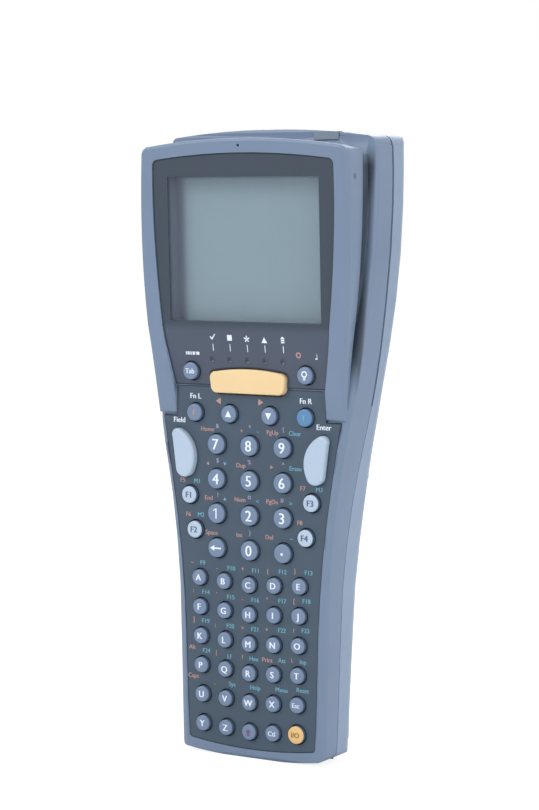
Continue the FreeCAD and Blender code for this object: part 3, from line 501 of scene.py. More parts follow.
@dataclass(frozen=True)
class LiquidCrystal(Finish):
    """An unlit liquid crystal screen: fine grain, and a soft shade along its left and top edges."""

    left: float = 0.0
    top: float = 0.0
    dark_strip: float = 1.6
    side_shade: float = 2.6
    top_shade: float = 1.0
    cell_scale: float = 120.0
    haze_scale: float = 30.0

    def paint(self, graph: NodeGraph) -> None:
        """Adds the screen's nodes.

        Args:
            graph: the material's nodes.
        """
        shader = graph.shader
        axes = graph.add("ShaderNodeSeparateXYZ")
        graph.join(graph.add("ShaderNodeTexCoord"), "Object", axes, "Vector")
        colour = self.tint.linear()
        fine = graph.spread(graph.noise(self.cell_scale, 2.0), "Fac", 0.0, 1.0)
        tone = graph.blend(fine, "Result", shaded(colour, 0.985), shaded(colour, 1.015))
        # Painted shade: a dark strip then a fade along the left edge, and a fade below the top
        # edge.
        start = self.left + self.dark_strip
        side = graph.spread(axes, "X", 1.0, 0.0, start * MM, (start + self.side_shade) * MM)
        over = graph.spread(axes, "Z", 0.0, 1.0, (self.top - self.top_shade) * MM, self.top * MM)
        for share in (side, over):
            shade = graph.blend(share, "Result", colour, Tint.SCREEN_EDGE.linear())
            graph.join(tone, "Color", shade, "Color1")
            tone = shade
        graph.join(tone, "Color", shader, "Base Color")
        rough = graph.spread(graph.noise(self.haze_scale, 2.0), "Fac", 0.3, 0.4)
        graph.join(rough, "Result", shader, "Roughness")


# Painted shade in the groove: the casing's colour passes into a dark painted shade behind the head,
# in front of the shell, and between the groove's lower and upper ends.
CASING = FadedPlastic(
    "casing_moulding", Tint.CASING, roughness=0.42, mottle=0.035, second=Tint.GROOVE,
    fades=(Fade((0.0, 1.0, -0.063), -22.7, -20.2), Fade((0.0, 1.0, -0.11), -25.2, -26.2),
           Fade(UPWARDS, 138.0, 150.0), Fade(UPWARDS, 230.0, 222.0)))
# The back shell and door are painted lighter: painted light that the back catches from behind.
CASING_BACK = Plastic("back_moulding", Tint.CASING_BACK, roughness=0.45, mottle=0.035)
# Painted shade for the side dimples, which are filled in on the shell.
DIMPLE = Plastic("dimple_moulding", Tint.DIMPLE, roughness=0.5)
# The real gasket's rubber, and also painted shade for the gap round the printed sheets.
SEAL = Plastic("seal_rubber", Tint.SEAL, roughness=0.7, grain=1400.0)
SHEET = Plastic("dark_sheet", Tint.SHEET, roughness=0.5, grain=4200.0, mottle=0.04)
# The panel's ramp below the bend is painted lighter, as painted light from above.
PANEL = FadedPlastic("panel_sheet", Tint.RAMP, roughness=0.5, grain=4200.0, mottle=0.04,
                     second=Tint.PANEL, fades=(Fade(UPWARDS, 161.0, 164.0),))
SCREEN_WALL = Plastic("screen_wall", Tint.SCREEN_WALL, roughness=0.5)
KEY = Plastic("key_plastic", Tint.KEY, roughness=0.38, grain=5200.0, grain_strength=0.35)
# The keys' side walls: partly their own darker colour, partly painted shade.
KEY_SIDE = Plastic("key_side", Tint.KEY_SIDE, roughness=0.5, grain=5200.0)
BLUE_KEY = Plastic("blue_key_plastic", Tint.BLUE_KEY, roughness=0.38, grain=5200.0)
LIGHT_KEY = Plastic("light_key_plastic", Tint.LIGHT_KEY, roughness=0.34, grain=5200.0, mottle=0.03)
SCAN = Plastic("scan_key_plastic", Tint.SCAN, roughness=0.36, mottle=0.025, soft_light=0.08)
POWER = Plastic("power_key_plastic", Tint.POWER, roughness=0.36, mottle=0.03, soft_light=0.08)
BLACK = Plastic("black_moulding", Tint.BLACK, roughness=0.5, grain=2200.0)
LAMP = Plastic("smoked_lens", Tint.LAMP, roughness=0.3, grain_strength=0.05, coat=0.1)
# Painted highlight for the lit side of the lenses' sunk walls.
LAMP_EDGE = Plastic("lens_edge", Tint.LAMP_EDGE, roughness=0.4)
RUBBER = Plastic("mat_rubber", Tint.RUBBER, roughness=0.75, grain=1800.0)
BOARD = Plastic("board_varnish", Tint.BOARD, roughness=0.35, grain=900.0, mottle=0.12)
CERAMIC = Plastic("antenna_ceramic", Tint.CERAMIC, roughness=0.6, grain=3000.0)
BATTERY = Plastic("battery_case", Tint.BATTERY, roughness=0.5)
TAB = Plastic("tab_plastic", Tint.TAB, roughness=0.45)
LATCH = Plastic("latch_plastic", Tint.SHEET, roughness=0.42)
STEEL = Metal("drawn_steel", Tint.STEEL)
SCREW = Metal("blackened_screw", Tint.DARK_STEEL, roughness=0.4, stretch=(1.0, 1.0, 0.1))
GOLD = Metal("plated_pad", Tint.GOLD, roughness=0.25, stretch=(1.0, 1.0, 0.06))
WINDOW = Glass("screen_window", Tint.GLASS, cover=0.04)
SCAN_GLASS = Glass("scan_window_glass", Tint.RUBY, cover=0.88, roughness=0.04)


def print_ink(tint: Tint) -> Plastic:
    """The printed ink of one colour."""
    return Plastic(f"ink_{tint.name.lower()}", tint, roughness=0.5, grain=6000.0,
                   grain_strength=0.1, mottle=0.02)


def cad_mesh(node: str) -> bmesh.types.BMesh:
    """A merged copy of a solid's mesh, in millimetres.

    Args:
        node: the solid's name.

    Returns:
        A new mesh to work on.
    """
    bm = bmesh.new()
    bm.from_mesh(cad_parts[node].data)
    bmesh.ops.scale(bm, vec=Vector((1.0, 1.0, 1.0)) / MM, verts=bm.verts)
    bmesh.ops.remove_doubles(bm, verts=bm.verts, dist=MERGE_REACH)
    return bm


@dataclass(frozen=True)
class Solid:
    """The box of one solid of a node, in millimetres."""

    low: Vector
    high: Vector

    @property
    def centre(self) -> Vector:
        """The middle of the box."""
        return (self.low + self.high) / 2.0

    @property
    def radius(self) -> float:
        """Half of the solid's height, which is a round key's radius."""
        return (self.high.z - self.low.z) / 2.0


def islands(left: set[Part], beside: Callable[[Part], Iterable[Part]]) -> list[set[Part]]:
    """Sorts a mesh's corners or faces into groups that hang together.

    Args:
        left: the corners or faces, which are used up.
        beside: gives those that are next to one of them.

    Returns:
        The groups.
    """
    found: list[set[Part]] = []
    while left:
        island = {left.pop()}
        edge = set(island)
        while edge:
            edge = {other for one in edge for other in beside(one)} & left
            island |= edge
            left -= edge
        found.append(island)
    return found


def solids_of(node: str) -> list[Solid]:
    """The separate solids of a node, by rows from the top and then from left to right.

    Args:
        node: the node's name.

    Returns:
        One box for each solid.
    """
    bm = cad_mesh(node)
    found: list[Solid] = []
    for island in islands(set(bm.verts), lambda v: [e.other_vert(v) for e in v.link_edges]):
        places = [v.co for v in island]
        found.append(Solid(Vector(min(p[i] for p in places) for i in range(3)),
                           Vector(max(p[i] for p in places) for i in range(3))))
    bm.free()
    rows: list[list[Solid]] = []
    for solid in sorted(found, key=lambda s: -s.centre.z):
        if rows and rows[-1][0].centre.z - solid.centre.z < ROW_DROP:
            rows[-1].append(solid)
        else:
            rows.append([solid])
    return [solid for row in rows for solid in sorted(row, key=lambda s: s.centre.x)]


def make_piece(name: str, bm: bmesh.types.BMesh, body: str,
               finishes: Sequence[bpy.types.Material], stands_for: Sequence[str] = (),
               sharp: float = 38.0, weighted: bool = False) -> bpy.types.Object:
    """Turns a mesh in millimetres into a finished piece on a body.

    Args:
        name: the piece's name.
        bm: its mesh, which is used up.
        body: the body that it moves with.
        finishes: its materials, in the order of the mesh's material numbers.
        stands_for: the solids that it is shown instead of.
        sharp: the angle from which an edge stays sharp, in degrees.
        weighted: True if large flat faces should keep their own shading.

    Returns:
        The new object.
    """
    bmesh.ops.scale(bm, vec=Vector((MM, MM, MM)), verts=bm.verts)
    mesh = bpy.data.meshes.new(name)
    bm.to_mesh(mesh)
    bm.free()
    for finish in finishes:
        mesh.materials.append(finish)
    mesh.shade_smooth()
    mesh.set_sharp_from_angle(angle=math.radians(sharp))
    piece = bpy.data.objects.new(name, mesh)
    bpy.context.scene.collection.objects.link(piece)
    if weighted:
        normals = piece.modifiers.new("even_shading", "WEIGHTED_NORMAL")
        normals.keep_sharp = True
        normals.weight = 60
    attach(piece, body)
    if stands_for:
        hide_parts(*stands_for)
    LOG.info("%s: %d faces on %s", name, len(mesh.polygons), body)
    return piece


def dress_node(node: str, finish: bpy.types.Material) -> None:
    """Gives a solid that stays in view, or hidden inside, its finish.

    Args:
        node: the solid's name.
        finish: its material.
    """
    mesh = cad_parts[node].data
    mesh.materials.clear()
    mesh.materials.append(finish)
    LOG.info("%s: %s", node, finish.name)


@dataclass(frozen=True)
class PrintFace:
    """A face that marks are printed on, with a lean above a bend and another one below it."""

    bend: float
    bend_y: float
    upper_lean: float = 0.0
    lower_lean: float = 0.0

    def lean(self, z: float) -> float:
        """How steeply the face leans at a height."""
        return self.upper_lean if z >= self.bend else self.lower_lean

    def y(self, z: float) -> float:
        """The face's y at a height."""
        return self.bend_y + (self.bend - z) * self.lean(z)

    def put(self, bm: bmesh.types.BMesh, x: float, z: float, proud: float = 0.0) -> None:
        """Moves a mesh that lies round the origin and faces -Y onto the face.

        Args:
            bm: the mesh, in millimetres.
            x: where its middle goes, across.
            z: where its middle goes, up.
            proud: how far in front of the face its origin goes.
        """
        rotate_mesh(bm, math.atan(self.lean(z)))
        move_mesh(bm, (x, self.y(z) - proud, z))


OVERLAY_FACE = PrintFace(bend=140.4, bend_y=-16.2)
PANEL_FACE = PrintFace(bend=162.5, bend_y=-20.187, upper_lean=0.033, lower_lean=0.168)


def rotate_mesh(bm: bmesh.types.BMesh, angle: float, axis: str = "X") -> None:
    """Turns a whole mesh about an axis through the origin, by an angle in radians."""
    bmesh.ops.rotate(bm, cent=Vector(), matrix=Matrix.Rotation(angle, 3, axis), verts=bm.verts)


def move_mesh(bm: bmesh.types.BMesh, way: Sequence[float]) -> None:
    """Moves a whole mesh."""
    bmesh.ops.translate(bm, vec=Vector(way), verts=bm.verts)


def thicken(bm: bmesh.types.BMesh, faces: Sequence[bmesh.types.BMFace],
            way: Sequence[float]) -> None:
    """Draws flat faces out into a plate.

    Args:
        bm: their mesh.
        faces: the faces.
        way: how far they are drawn out along each axis.
    """
    grown = bmesh.ops.extrude_face_region(bm, geom=faces)["geom"]
    moved = [g for g in grown if isinstance(g, bmesh.types.BMVert)]
    bmesh.ops.translate(bm, vec=Vector(way), verts=moved)


def round_edges(bm: bmesh.types.BMesh, edges: Sequence[bmesh.types.BMEdge], reach: float,
                segments: int) -> None:
    """Rounds edges.

    Args:
        bm: their mesh.
        edges: the edges.
        reach: how far the rounding reaches on each side.
        segments: how many faces go across it.
    """
    bmesh.ops.bevel(bm, geom=edges, offset=reach, segments=segments, profile=0.5, affect="EDGES",
                    material=-1)


def flat_shape(corners: Polygon, size: float, thickness: float) -> bmesh.types.BMesh:
    """A thin flat plate in the XZ plane that faces -Y.

    Args:
        corners: its outline, as shares of its size.
        size: its size.
        thickness: its thickness, forwards.

    Returns:
        The plate as a new mesh.
    """
    bm = bmesh.new()
    verts = [bm.verts.new((x * size, 0.0, z * size)) for x, z in corners]
    face = bmesh.ops.contextual_create(bm, geom=verts)["faces"][0]
    thicken(bm, [face], (0.0, -thickness, 0.0))
    bmesh.ops.recalc_face_normals(bm, faces=bm.faces)
    return bm


def ring_shape(outer: float, inner: float, thickness: float) -> bmesh.types.BMesh:
    """A flat ring in the XZ plane that faces -Y.

    Args:
        outer: its outer radius.
        inner: its inner radius.
        thickness: its thickness, forwards.

    Returns:
        The ring as a new mesh.
    """
    bm = bmesh.new()
    for radius in (outer, inner):
        bmesh.ops.create_circle(bm, segments=20, radius=radius)
    thicken(bm, bmesh.ops.bridge_loops(bm, edges=bm.edges)["faces"], (0.0, 0.0, thickness))
    rotate_mesh(bm, QUARTER_TURN)
    bmesh.ops.recalc_face_normals(bm, faces=bm.faces)
    return bm


def join_into(target: bmesh.types.BMesh, part: bmesh.types.BMesh,
              material: Optional[int] = None) -> None:
    """Adds one mesh to another and uses it up.

    Args:
        target: the mesh that grows.
        part: the mesh that goes into it.
        material: the material number of the added faces, or None to keep theirs.
    """
    if material is not None:
        for face in part.faces:
            face.material_index = material
    mesh = bpy.data.meshes.new("part")
    part.to_mesh(mesh)
    part.free()
    target.from_mesh(mesh)
    bpy.data.meshes.remove(mesh)


def lettering(text: str, height: float, weight: float = 0.0) -> bmesh.types.BMesh:
    """Plain raised lettering in the XZ plane, centred on the origin and facing -Y.

    Args:
        text: what it says.
        height: the height of a capital letter.
        weight: how far its strokes are drawn out to each side, as a share of its height.

    Returns:
        The lettering as a new mesh.
    """
    curve = bpy.data.curves.new("lettering", "FONT")
    curve.body = text
    curve.size = height / CAP_HEIGHT
    curve.resolution_u = 3
    curve.extrude = PRINT_THICKNESS
    holder = bpy.data.objects.new("lettering", curve)
    mesh = bpy.data.meshes.new_from_object(holder)
    bm = bmesh.new()
    bm.from_mesh(mesh)
    bpy.data.objects.remove(holder)
    bpy.data.curves.remove(curve)
    bpy.data.meshes.remove(mesh)
    bmesh.ops.remove_doubles(bm, verts=bm.verts, dist=0.0005)
    xs = [v.co.x for v in bm.verts]
    middle = Vector(((min(xs) + max(xs)) / 2.0, height / 2.0, 0.0))
    move_mesh(bm, -middle)
    rotate_mesh(bm, QUARTER_TURN)
    if weight == 0.0:
        return bm
    bold = bmesh.new()
    for side, rise in ((-1.0, 0.0), (1.0, BOLD_STEP)):
        stroke = bm.copy()
        move_mesh(stroke, (side * weight * height, -rise, 0.0))
        join_into(bold, stroke)
    bm.free()
    return bold


def glyph_mesh(glyph: Glyph, size: float) -> bmesh.types.BMesh:
    """A plain mark in the XZ plane, centred on the origin and facing -Y.

    Args:
        glyph: which mark.
        size: its size.

    Returns:
        The mark as a new mesh.
    """
    if glyph is Glyph.RING:
        return ring_shape(size * 0.5, size * 0.28, PRINT_THICKNESS)
    if glyph is Glyph.BULB:
        bulb = ring_shape(size * 0.36, size * 0.22, PRINT_THICKNESS)
        move_mesh(bulb, (0.0, 0.0, size * 0.14))
        for low in (-0.34, -0.5):
            base = block(-0.16, low, 0.16, low + 0.1)
            join_into(bulb, flat_shape(base, size, PRINT_THICKNESS))
        return bulb
    bm = bmesh.new()
    for corners in GLYPH_SHAPES[glyph]:
        join_into(bm, flat_shape(corners, size, PRINT_THICKNESS))
    return bm


def mark_mesh(what: str | Glyph, size: float, weight: float = 0.0) -> bmesh.types.BMesh:
    """Lettering or a mark, whichever is asked for.

    Args:
        what: the text or the mark.
        size: the height of a capital letter, or the mark's size.
        weight: how much bolder lettering is drawn.

    Returns:
        A new mesh in the XZ plane that faces -Y.
    """
    if isinstance(what, Glyph):
        return glyph_mesh(what, size)
    return lettering(what, size, weight)


@dataclass
class RoundKeys:
    """The round keys of one node: domed caps with a rounded rim, each with its legend."""

    node: str
    legends: tuple[str | Glyph, ...]
    slot: str = "key"
    cap: Plastic = KEY
    side: Plastic = KEY_SIDE
    ink: Tint = Tint.WHITE
    legend_size: float = 2.35
    weight: float = 0.045
    rim: float = 0.5
    dome: float = 0.1
    drop: float = 0.6
    taper: float = 0.94
    segments: int = 44
    dome_steps: tuple[tuple[float, float], ...] = ((0.35, 0.55), (0.55, 0.45))

    def cap_mesh(self, solid: Solid) -> bmesh.types.BMesh:
        """One cap, where its solid is.

        Args:
            solid: the key's solid.

        Returns:
            The cap as a new mesh.
        """
        bm = bmesh.new()
        depth = solid.high.y - solid.low.y - self.drop
        bmesh.ops.create_cone(bm, cap_ends=True, segments=self.segments, radius1=solid.radius,
                              radius2=solid.radius * self.taper, depth=depth)
        rotate_mesh(bm, QUARTER_TURN)
        bm.normal_update()
        # Side walls get the darker side finish: partly their own colour, partly painted shade.
        for face in bm.faces:
            face.material_index = 2 if abs(face.normal.y) < 0.5 else 0
        front = [e for e in bm.edges if all(v.co.y < 0.0 for v in e.verts)]
        round_edges(bm, front, self.rim, 4)
        top = min(bm.faces, key=lambda f: f.calc_center_median().y)
        for share, rise in self.dome_steps:
            width = solid.radius * share * 0.5
            bmesh.ops.inset_region(bm, faces=[top], thickness=width, depth=self.dome * rise)
        for face in bm.faces:
            if face.calc_center_median().y < self.rim * 0.9 - depth / 2.0:
                face.material_index = 0
        bmesh.ops.recalc_face_normals(bm, faces=bm.faces)
        move_mesh(bm, solid.centre + Vector((0.0, self.drop / 2.0, 0.0)))
        return bm

    def build(self) -> bpy.types.Object:
        """Builds the node's caps and legends as one piece.

        Returns:
            The new object.
        """
        bm = bmesh.new()
        for solid, legend in zip(solids_of(self.node), self.legends):
            join_into(bm, self.cap_mesh(solid))
            if legend:
                mark = mark_mesh(legend, self.legend_size, self.weight)
                front = solid.low.y + self.drop - self.dome
                move_mesh(mark, (solid.centre.x, front, solid.centre.z))
                join_into(bm, mark, 1)
        finishes = [self.cap.material(), print_ink(self.ink).material(), self.side.material()]
        return make_piece(f"{self.node}_cap", bm, self.node, finishes, [self.node],
                          sharp=50.0)


@dataclass
class ShapedKey:
    """A key of its own outline, with its front rim rounded."""

    node: str
    cap: Plastic
    slot: str
    rim: float

    def build(self) -> bpy.types.Object:
        """Rounds the solid's front rim.

        Returns:
            The new object.
        """
        bm = cad_mesh(self.node)
        bmesh.ops.dissolve_limit(bm, angle_limit=math.radians(1.0), verts=bm.verts, edges=bm.edges)
        front = min(v.co.y for v in bm.verts)
        rim = [e for e in bm.edges if all(v.co.y < front + 0.01 for v in e.verts)]
        round_edges(bm, rim, self.rim, 5)
        return make_piece(f"{self.node}_cap", bm, self.node, [self.cap.material()],
                          [self.node], sharp=50.0)


@dataclass
class ScanBar:
    """The wide scan key: an arched top, a straight foot and rounded, slightly slanting ends."""

    half_top: float = 16.7
    half_foot: float = 15.7
    foot: float = 138.0
    shoulder: float = 145.6
    crest: float = 147.2
    corner: float = 2.2
    rim: float = 0.6
    front: float = -19.0
    back: float = -13.6
    arch_steps: int = 16

    def outline(self) -> list[tuple[float, float]]:
        """The bar's outline as x and z, from the foot's left end round to its right end.

        Returns:
            The points in order.
        """
        right = [(self.half_foot, self.foot), (self.half_top, self.shoulder)]
        shares = [1.0 - 2.0 * i / self.arch_steps for i in range(1, self.arch_steps)]
        rise = self.crest - self.shoulder
        arch = [(self.half_top * share, self.shoulder + rise * (1.0 - share ** 2))
                for share in shares]
        left = [(-x, z) for x, z in reversed(right)]
        return right + arch + left

    def build(self) -> bpy.types.Object:
        """Builds the bar with rounded corners and a rounded front rim.

        Returns:
            The new object.
        """
        bm = bmesh.new()
        verts = [bm.verts.new((x, self.back, z)) for x, z in self.outline()]
        face = bmesh.ops.contextual_create(bm, geom=verts)["faces"][0]
        thicken(bm, [face], (0.0, self.front - self.back, 0.0))
        bmesh.ops.recalc_face_normals(bm, faces=bm.faces)
        ends = [e for e in bm.edges if abs(e.verts[0].co.y - e.verts[1].co.y) > 1.0
                and e.calc_face_angle(0.0) > math.radians(30.0)]
        round_edges(bm, ends, self.corner, 6)
        rim = [e for e in bm.edges if all(v.co.y < self.front + 0.01 for v in e.verts)]
        round_edges(bm, rim, self.rim, 4)
        return make_piece("scan_bar_cap", bm, "scan_bar", [SCAN.material()],
                          ["scan_bar"], sharp=50.0)


@dataclass
class Keypad:
    """All keys, by what they carry."""

    digit_size: float = 3.95
    digits: tuple[tuple[str, str | Glyph], ...] = (
        ("key_7", "7"), ("key_8", "8"), ("key_9", "9"), ("key_4", "4"), ("key_5", "5"),
        ("key_6", "6"), ("key_1", Glyph.ONE), ("key_2", "2"), ("key_3", "3"), ("key_0", "0"))
    letter_rows: tuple[tuple[str, str], ...] = (
        ("letters_a_to_e", "ABCDE"), ("letters_f_to_j", "FGHIJ"), ("letters_k_to_o", "KLMNO"),
        ("letters_p_to_t", "PQRST"), ("letters_u_to_z", "UVWXYZ"))

    def build(self) -> list[bpy.types.Object]:
        """Builds every key.

        Returns:
            The new objects.
        """
        keys = [RoundKeys(node, (legend,), legend_size=self.digit_size, weight=0.026, taper=0.97)
                for node, legend in self.digits]
        keys += [RoundKeys(node, tuple(row)) for node, row in self.letter_rows]
        keys += [
            RoundKeys("key_back", (Glyph.ARROW_LEFT,), legend_size=4.2),
            RoundKeys("key_point", (Glyph.DOT,), legend_size=3.8),
            RoundKeys("up_key", (Glyph.UP,), legend_size=2.7),
            RoundKeys("down_key", (Glyph.DOWN,), legend_size=2.7),
            RoundKeys("fn_left_key", ("f",), ink=Tint.ORANGE, legend_size=2.2),
            RoundKeys("fn_right_key", ("f",), cap=BLUE_KEY, ink=Tint.TEAL, legend_size=2.2),
            RoundKeys("tab_key", ("Tab",), legend_size=1.8, weight=0.025),
            RoundKeys("backlight_key", (Glyph.BULB,), legend_size=3.4),
            RoundKeys("escape_key", ("Esc",), legend_size=1.7, weight=0.025),
            RoundKeys("control_key", ("Ctl",), legend_size=1.8, weight=0.025),
            RoundKeys("shift_key", (Glyph.SHIFT,), ink=Tint.PLUM, legend_size=2.6),
            RoundKeys("power_key", ("I/O",), slot="power_key", cap=POWER, ink=Tint.BROWN,
                      legend_size=1.8, weight=0.03),
        ]
        keys += [RoundKeys(f"key_f{i}", (f"F{i}",), slot="light_key", cap=LIGHT_KEY,
                           ink=Tint.SLATE_LEGEND, legend_size=2.2, weight=0.04, taper=0.92)
                 for i in range(1, 5)]
        shaped = [ShapedKey("field_key", LIGHT_KEY, "light_key", rim=1.1),
                  ShapedKey("enter_key", LIGHT_KEY, "light_key", rim=1.1)]
        return [key.build() for key in keys] + [key.build() for key in shaped] + [ScanBar().build()]


@dataclass(frozen=True)
class Print:
    """One printed word or mark: what it is, where its middle is, its size and its colour."""

    what: str | Glyph
    x: float
    z: float
    size: float = 1.6
    tint: Tint = Tint.WHITE
    weight: float = 0.01


def widest_ring(faces: Sequence[bmesh.types.BMFace]) -> set[bmesh.types.BMFace]:
    """The faces that run round a sheet's outer edge, and not those round its openings.

    Args:
        faces: the faces that follow every edge of the sheet.

    Returns:
        Those of the ring that reaches over the greatest height.
    """
    rings = islands(set(faces), lambda face: [f for e in face.edges for f in e.link_faces])

    def height(ring: set[bmesh.types.BMFace]) -> float:
        """How far a ring reaches from its lowest to its highest corner."""
        levels = [v.co.z for face in ring for v in face.verts]
        return max(levels) - min(levels)

    return max(rings, key=height)


@dataclass
class PrintedSheet:
    """A dark sheet with openings for keys, and what is printed on it."""

    node: str
    surface: PrintFace
    finish: Plastic
    gap: float
    marks: list[Print] = field(default_factory=list)
    sink: float = 0.02

    def build(self) -> list[bpy.types.Object]:
        """Builds the sheet and one piece of print for each colour.

        Returns:
            The new objects.
        """
        bm = cad_mesh(self.node)
        bmesh.ops.dissolve_limit(bm, angle_limit=math.radians(0.5), verts=bm.verts, edges=bm.edges)
        front = [f for f in bm.faces if f.normal.y < -0.9]
        made = bmesh.ops.inset_region(bm, faces=front, thickness=self.gap, use_boundary=True,
                                      use_even_offset=True)["faces"]
        # Painted shade: the ring round the sheet's outer edge gets the seal's dark colour, as the
        # gap's shadow.
        for face in widest_ring(made):
            face.material_index = 1
        pieces = [make_piece(f"{self.node}_sheet", bm, "casing",
                             [self.finish.material(), SEAL.material()], [self.node], sharp=30.0)]
        for tint in sorted({mark.tint for mark in self.marks}, key=lambda t: t.name):
            layer = bmesh.new()
            for mark in (m for m in self.marks if m.tint is tint):
                word = mark_mesh(mark.what, mark.size, mark.weight)
                self.surface.put(word, mark.x, mark.z, PRINT_THICKNESS - self.sink)
                join_into(layer, word)
            name = f"{self.node}_{tint.name.lower()}_print"
            pieces.append(make_piece(name, layer, "casing", [print_ink(tint).material()]))
        return pieces


Mark = tuple[str | Glyph, float, float]
LABEL_SIZE, ARROW_SIZE, WORD_SIZE, MARK_SIZE = 1.95, 2.6, 1.65, 1.4
ICON_SIZE, LINE_SIZE = 2.4, 2.7
LINE_HEIGHT = 155.0

WHITE_LABELS: tuple[Mark, ...] = (
    ("Fn L", -24.28, 136.24), ("Fn R", 24.0, 136.17), ("Field", -31.68, 126.91),
    ("Enter", 31.66, 126.86))
ARROWS: tuple[Mark, ...] = ((Glyph.LEFT, -14.14, 134.74), (Glyph.RIGHT, 4.47, 134.94))
ORANGE_MARKS: tuple[Mark, ...] = (
    ("Home", -18.99, 123.96), ("+", -3.91, 123.89), ("PgUp", 9.57, 123.95),
    (Glyph.LEFT, -19.06, 110.87), ("Dup", -4.26, 110.94), (Glyph.RIGHT, 9.24, 110.96),
    ("End", -18.66, 97.92), ("Num", -4.73, 98.05), ("PgDn", 9.38, 98.06),
    ("Space", -17.44, 84.78), ("Ins", -5.06, 84.7), ("Del", 8.06, 84.75),
    ("F5", -30.32, 103.99), ("F7", 22.69, 103.89), ("F6", -27.84, 91.09), ("F8", 21.35, 91.01),
    ("~", -26.25, 72.84), ("-", -15.08, 71.42), ("+", -3.65, 71.88), ("(", 7.43, 71.97),
    (")", 19.09, 72.9), (":", -25.77, 62.06), ("'", -15.3, 61.3), ("-", -3.77, 60.5),
    ("\"", 7.0, 60.98), ("[", 18.87, 61.61), ("]", -25.7, 51.0), (";", -15.9, 49.7),
    ("=", -3.8, 49.5), ("+", 6.9, 49.9), ("/", 18.6, 50.5), ("Alt", -26.46, 40.24),
    ("|", -15.59, 39.1), ("?", -3.86, 38.43), ("Print", 7.13, 38.38), ("\\", 17.73, 39.16),
    ("Caps", -25.91, 29.23), (",", -16.33, 27.51))
TEAL_MARKS: tuple[Mark, ...] = (
    ("-", 3.15, 124.03), ("Clear", 19.28, 124.03), (Glyph.DOWN, -11.39, 111.04),
    ("Erase", 19.54, 111.05), (Glyph.UP, -11.46, 97.87), ("<", 2.94, 97.79), (">", 17.44, 97.88),
    (Glyph.DASH, 17.75, 84.67), ("M1", -23.93, 103.97), ("M3", 29.66, 103.82),
    ("M2", -22.14, 91.22), ("F9", -21.49, 72.92),
    ("F10", -8.71, 71.76), ("F11", 1.91, 71.64), ("F12", 13.9, 72.15),
    ("F13", 25.08, 72.66), ("F14", -20.13, 61.79), ("F15", -8.97, 60.79), ("F16", 1.87, 60.53),
    ("F17", 13.74, 61.17), ("F18", 24.17, 61.96), ("F19", -20.3, 50.75), ("F20", -9.2, 49.7),
    ("F21", 1.6, 49.5), ("F22", 13.5, 50.1), ("F23", 23.7, 50.9), ("F24", -19.99, 39.36),
    ("Lf", -9.61, 38.14), ("Hex", 1.26, 38.19), ("Att", 13.43, 38.73), ("Inp", 22.65, 39.09),
    ("Sys", -8.52, 27.58), ("Help", 1.75, 27.29), ("Menu", 13.27, 27.61), ("Reset", 22.5, 28.37))
VIOLET_MARKS: tuple[Mark, ...] = (
    ("&", -14.61, 125.28), ("*", -0.31, 125.32), ("(", 14.32, 125.43), ("$", -14.6, 112.3),
    ("%", -0.54, 112.31), ("^", 14.18, 112.24), ("!", -14.6, 99.2), (Glyph.RING, -0.65, 99.07),
    ("#", 13.68, 98.98), (")", -0.5, 85.8))
ICONS: tuple[Mark, ...] = (
    (Glyph.CHECK, -14.53, 158.95), (Glyph.SQUARE, -7.0, 158.76), (Glyph.STAR, 0.52, 158.53),
    (Glyph.UP, 8.1, 158.25), (Glyph.CELL, 16.03, 158.59))
LINE_PLACES = (-14.6, -7.1, 0.5, 8.15, 16.05)


def overlay_print() -> list[Print]:
    """Everything that is printed on the keypad's sheet.

    Returns:
        The words and marks.
    """
    marks = [Print(what, x, z, LABEL_SIZE, weight=0.035) for what, x, z in WHITE_LABELS]
    marks += [Print(glyph, x, z, ARROW_SIZE, Tint.ORANGE) for glyph, x, z in ARROWS]
    for tint, places in ((Tint.ORANGE, ORANGE_MARKS), (Tint.TEAL, TEAL_MARKS),
                         (Tint.VIOLET, VIOLET_MARKS)):
        for what, x, z in places:
            size = WORD_SIZE if isinstance(what, str) else MARK_SIZE
            marks.append(Print(what, x, z, size, tint, weight=0.025))
    return marks


def panel_print() -> list[Print]:
    """Everything that is printed on the panel round the screen.

    Returns:
        The words and marks.
    """
    marks = [Print(icon, x, z, ICON_SIZE) for icon, x, z in ICONS]
    marks += [Print(Glyph.LINE, x, LINE_HEIGHT, LINE_SIZE) for x in LINE_PLACES]
    marks.append(Print(Glyph.RING, 22.27, 153.14, 2.2, Tint.ORANGE))
    marks.append(Print(Glyph.NOTE, 30.0, 152.75, 2.0))
    marks.append(Print(Glyph.BARS, -24.1, 152.5, 2.0))
    return marks


